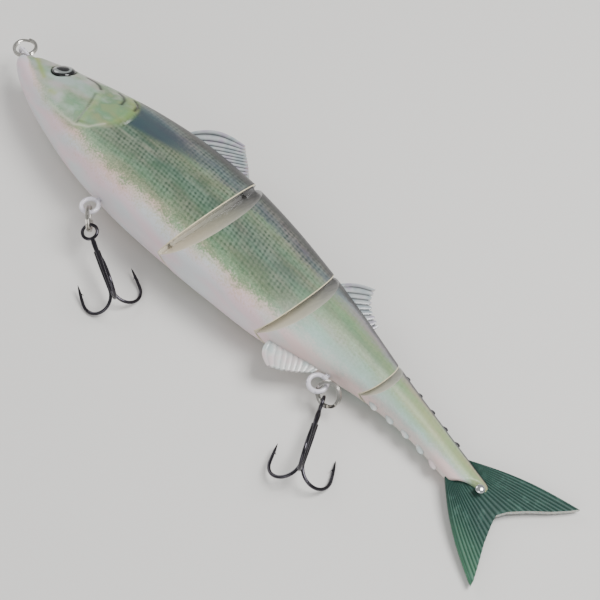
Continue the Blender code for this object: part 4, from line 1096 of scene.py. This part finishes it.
def build_stage(props):
    shape = bmesh.new()
    bmesh.ops.create_grid(shape, x_segments=1, y_segments=1, size=props.floor_size / 2)
    mesh = bpy.data.meshes.new("studio_floor")
    shape.to_mesh(mesh)
    shape.free()
    material, _tree, _shader = new_material(
        "matt_studio_paper", Base_Color=(*props.floor_colour, 1.0), Roughness=0.9)
    mesh.materials.append(material)
    floor = bpy.data.objects.new("studio_floor", mesh)
    bpy.context.scene.collection.objects.link(floor)

    world = bpy.data.worlds.new("soft_studio")
    world.use_nodes = True
    background = world.node_tree.nodes["Background"]
    background.inputs["Color"].default_value = linear("#f1f3f5")
    background.inputs["Strength"].default_value = 0.5
    bpy.context.scene.world = world
    middle = Vector(((CAD_BOX[0][0] + CAD_BOX[1][0]) / 2, (CAD_BOX[0][1] + CAD_BOX[1][1]) / 2, 0.0))
    for name, offset, size, share in (("top_softbox", (0.3, 0.3, 0.7), 0.4, 1.0),
                                      ("head_softbox", (-0.65, -0.05, 0.4), 0.4, 0.2),
                                      ("belly_softbox", (0.35, -0.65, 0.35), 0.6, 0.3)):
        light = bpy.data.lights.new(name, "AREA")
        light.energy = props.key_power * share
        light.size = size
        lamp = bpy.data.objects.new(name, light)
        lamp.location = middle + Vector(offset)
        lamp.rotation_euler = (-Vector(offset)).to_track_quat("-Z", "Y").to_euler()
        bpy.context.scene.collection.objects.link(lamp)

    azimuth, elevation = math.radians(CAMERA_AZIMUTH), math.radians(CAMERA_ELEVATION)
    back = Vector((math.sin(azimuth) * math.cos(elevation), -math.cos(azimuth) * math.cos(elevation),
                   math.sin(elevation)))
    camera = bpy.data.cameras.new("three_quarter_camera")
    camera.angle = math.radians(CAMERA_VIEW)
    camera.clip_start = 0.01
    holder = bpy.data.objects.new("three_quarter_camera", camera)
    holder.location = CAMERA_TARGET + back * CAMERA_DISTANCE
    holder.rotation_euler = (-back).to_track_quat("-Z", "Y").to_euler()
    bpy.context.scene.collection.objects.link(holder)
    bpy.context.scene.camera = holder


# ---------------------------------------------------------------- add-on

class SwimbaitPaint(bpy.types.PropertyGroup):
    scale_pitch: FloatProperty(
        name="Scale pitch", description="Spacing of the scale rows, drawn as coarse as it needs to be to show",
        default=3.3 * MM, min=0.5 * MM, max=5.0 * MM, subtype="DISTANCE", unit="LENGTH")
    slate_colour: FloatVectorProperty(
        name="Slate patch", description="Colour of the patch behind the gill cover",
        default=linear("#2f3f49")[:3], min=0.0, max=1.0, size=3, subtype="COLOR")
    # Colour of the painted shade in the grooves of the dorsal fins
    groove_shade_colour: FloatVectorProperty(
        name="Fin wash", description="Colour of the wash in the grooves of the dorsal fins",
        default=linear("#161c1e")[:3], min=0.0, max=1.0, size=3, subtype="COLOR")
    tail_colour: FloatVectorProperty(
        name="Tail", description="Darkest colour of the soft tail",
        default=linear("#0d322c")[:3], min=0.0, max=1.0, size=3, subtype="COLOR")


class SwimbaitTackle(bpy.types.PropertyGroup):
    ring_radius: FloatProperty(
        name="Ring radius", description="Mean radius of each split ring",
        default=3.9 * MM, min=1.0 * MM, max=10.0 * MM, subtype="DISTANCE", unit="LENGTH")
    ring_wire: FloatProperty(
        name="Ring wire", description="Radial width of the split rings' flat wire",
        default=1.1 * MM, min=0.3 * MM, max=3.0 * MM, subtype="DISTANCE", unit="LENGTH")
    hook_wire: FloatProperty(
        name="Hook wire", description="Radius of each hook's wire",
        default=0.55 * MM, min=0.2 * MM, max=2.0 * MM, subtype="DISTANCE", unit="LENGTH")
    hook_eye: FloatProperty(
        name="Hook eye", description="Mean radius of the eye at the head of a hook",
        default=2.5 * MM, min=0.5 * MM, max=6.0 * MM, subtype="DISTANCE", unit="LENGTH")
    hook_length: FloatProperty(
        name="Hook length", description="From the middle of a hook's eye to the outside of its bend",
        default=27.0 * MM, min=10.0 * MM, max=60.0 * MM, subtype="DISTANCE", unit="LENGTH")
    hook_gape: FloatProperty(
        name="Hook gape", description="From the shank's middle to a hook's point",
        default=11.0 * MM, min=4.0 * MM, max=30.0 * MM, subtype="DISTANCE", unit="LENGTH")


class SwimbaitStage(bpy.types.PropertyGroup):
    floor_size: FloatProperty(
        name="Floor size", description="Length of each side of the floor",
        default=4.0, min=0.5, max=20.0, subtype="DISTANCE", unit="LENGTH")
    floor_colour: FloatVectorProperty(
        name="Floor colour", description="Colour of the plain floor",
        default=linear("#dcdad6")[:3], min=0.0, max=1.0, size=3, subtype="COLOR")
    key_power: FloatProperty(
        name="Key light", description="Power of the soft light above the back",
        default=8.0, min=0.0, max=100.0, subtype="POWER", unit="POWER")


class SWIMBAIT_OT_skins(bpy.types.Operator):
    """Build the painted half skins of the four sections, with their joint faces"""
    bl_idname = "swimbait.skins"
    bl_label = "Section skins"
    bl_options = {"REGISTER", "UNDO"}

    def execute(self, context):
        build_skins(context.scene.swimbait_paint)
        return {"FINISHED"}


class SWIMBAIT_OT_finlets(bpy.types.Operator):
    """Build the finlets along the back and belly of the tail section"""
    bl_idname = "swimbait.finlets"
    bl_label = "Finlets"
    bl_options = {"REGISTER", "UNDO"}

    def execute(self, context):
        build_finlets()
        return {"FINISHED"}


class SWIMBAIT_OT_fins(bpy.types.Operator):
    """Build the two dorsal fins and the anal fin with their rays"""
    bl_idname = "swimbait.fins"
    bl_label = "Rayed fins"
    bl_options = {"REGISTER", "UNDO"}

    def execute(self, context):
        build_fins(context.scene.swimbait_paint)
        return {"FINISHED"}


class SWIMBAIT_OT_tail(bpy.types.Operator):
    """Build the soft forked tail and its pin"""
    bl_idname = "swimbait.tail"
    bl_label = "Soft tail"
    bl_options = {"REGISTER", "UNDO"}

    def execute(self, context):
        build_tail(context.scene.swimbait_paint)
        return {"FINISHED"}


class SWIMBAIT_OT_eyes(bpy.types.Operator):
    """Build the foil eyes and their domes"""
    bl_idname = "swimbait.eyes"
    bl_label = "Eyes"
    bl_options = {"REGISTER", "UNDO"}

    def execute(self, context):
        build_eyes()
        return {"FINISHED"}


class SWIMBAIT_OT_tackle(bpy.types.Operator):
    """Build the hangers, the line tie, the split rings and the treble hooks"""
    bl_idname = "swimbait.tackle"
    bl_label = "Tackle"
    bl_options = {"REGISTER", "UNDO"}

    def execute(self, context):
        build_tackle(context.scene.swimbait_tackle)
        return {"FINISHED"}


class SWIMBAIT_OT_hinges(bpy.types.Operator):
    """Give the joint pins, hinge eyes and lead slugs of the frame their metals"""
    bl_idname = "swimbait.hinges"
    bl_label = "Hinge metals"
    bl_options = {"REGISTER", "UNDO"}

    def execute(self, context):
        dress_frame()
        return {"FINISHED"}


class SWIMBAIT_OT_stage(bpy.types.Operator):
    """Set up the floor, the soft lights and the camera"""
    bl_idname = "swimbait.stage"
    bl_label = "Stage"
    bl_options = {"REGISTER", "UNDO"}

    def execute(self, context):
        build_stage(context.scene.swimbait_stage)
        return {"FINISHED"}


STEPS = (SWIMBAIT_OT_stage, SWIMBAIT_OT_skins, SWIMBAIT_OT_finlets, SWIMBAIT_OT_fins, SWIMBAIT_OT_tail,
         SWIMBAIT_OT_eyes, SWIMBAIT_OT_tackle, SWIMBAIT_OT_hinges)
GROUPS = {"swimbait_paint": SwimbaitPaint, "swimbait_tackle": SwimbaitTackle,
          "swimbait_stage": SwimbaitStage}


class SWIMBAIT_PT_panel(bpy.types.Panel):
    """Lists the swimbait's sizes and the steps that build it"""
    bl_idname = "SWIMBAIT_PT_panel"
    bl_label = "Swimbait"
    bl_space_type = "VIEW_3D"
    bl_region_type = "UI"
    bl_category = "Swimbait"

    def draw(self, context):
        layout = self.layout
        for name, group in GROUPS.items():
            box = layout.box()
            for prop in group.__annotations__:
                box.prop(getattr(context.scene, name), prop)
        for step in STEPS:
            layout.operator(step.bl_idname)


CLASSES = tuple(GROUPS.values()) + STEPS + (SWIMBAIT_PT_panel,)


def register():
    for item in CLASSES:
        bpy.utils.register_class(item)
    for name, group in GROUPS.items():
        setattr(bpy.types.Scene, name, PointerProperty(type=group))


def unregister():
    for name in GROUPS:
        delattr(bpy.types.Scene, name)
    for item in reversed(CLASSES):
        bpy.utils.unregister_class(item)


def main():
    register()
    for step in STEPS:
        getattr(bpy.ops.swimbait, step.bl_idname.split(".")[1])()


if __name__ == "__main__":
    main()
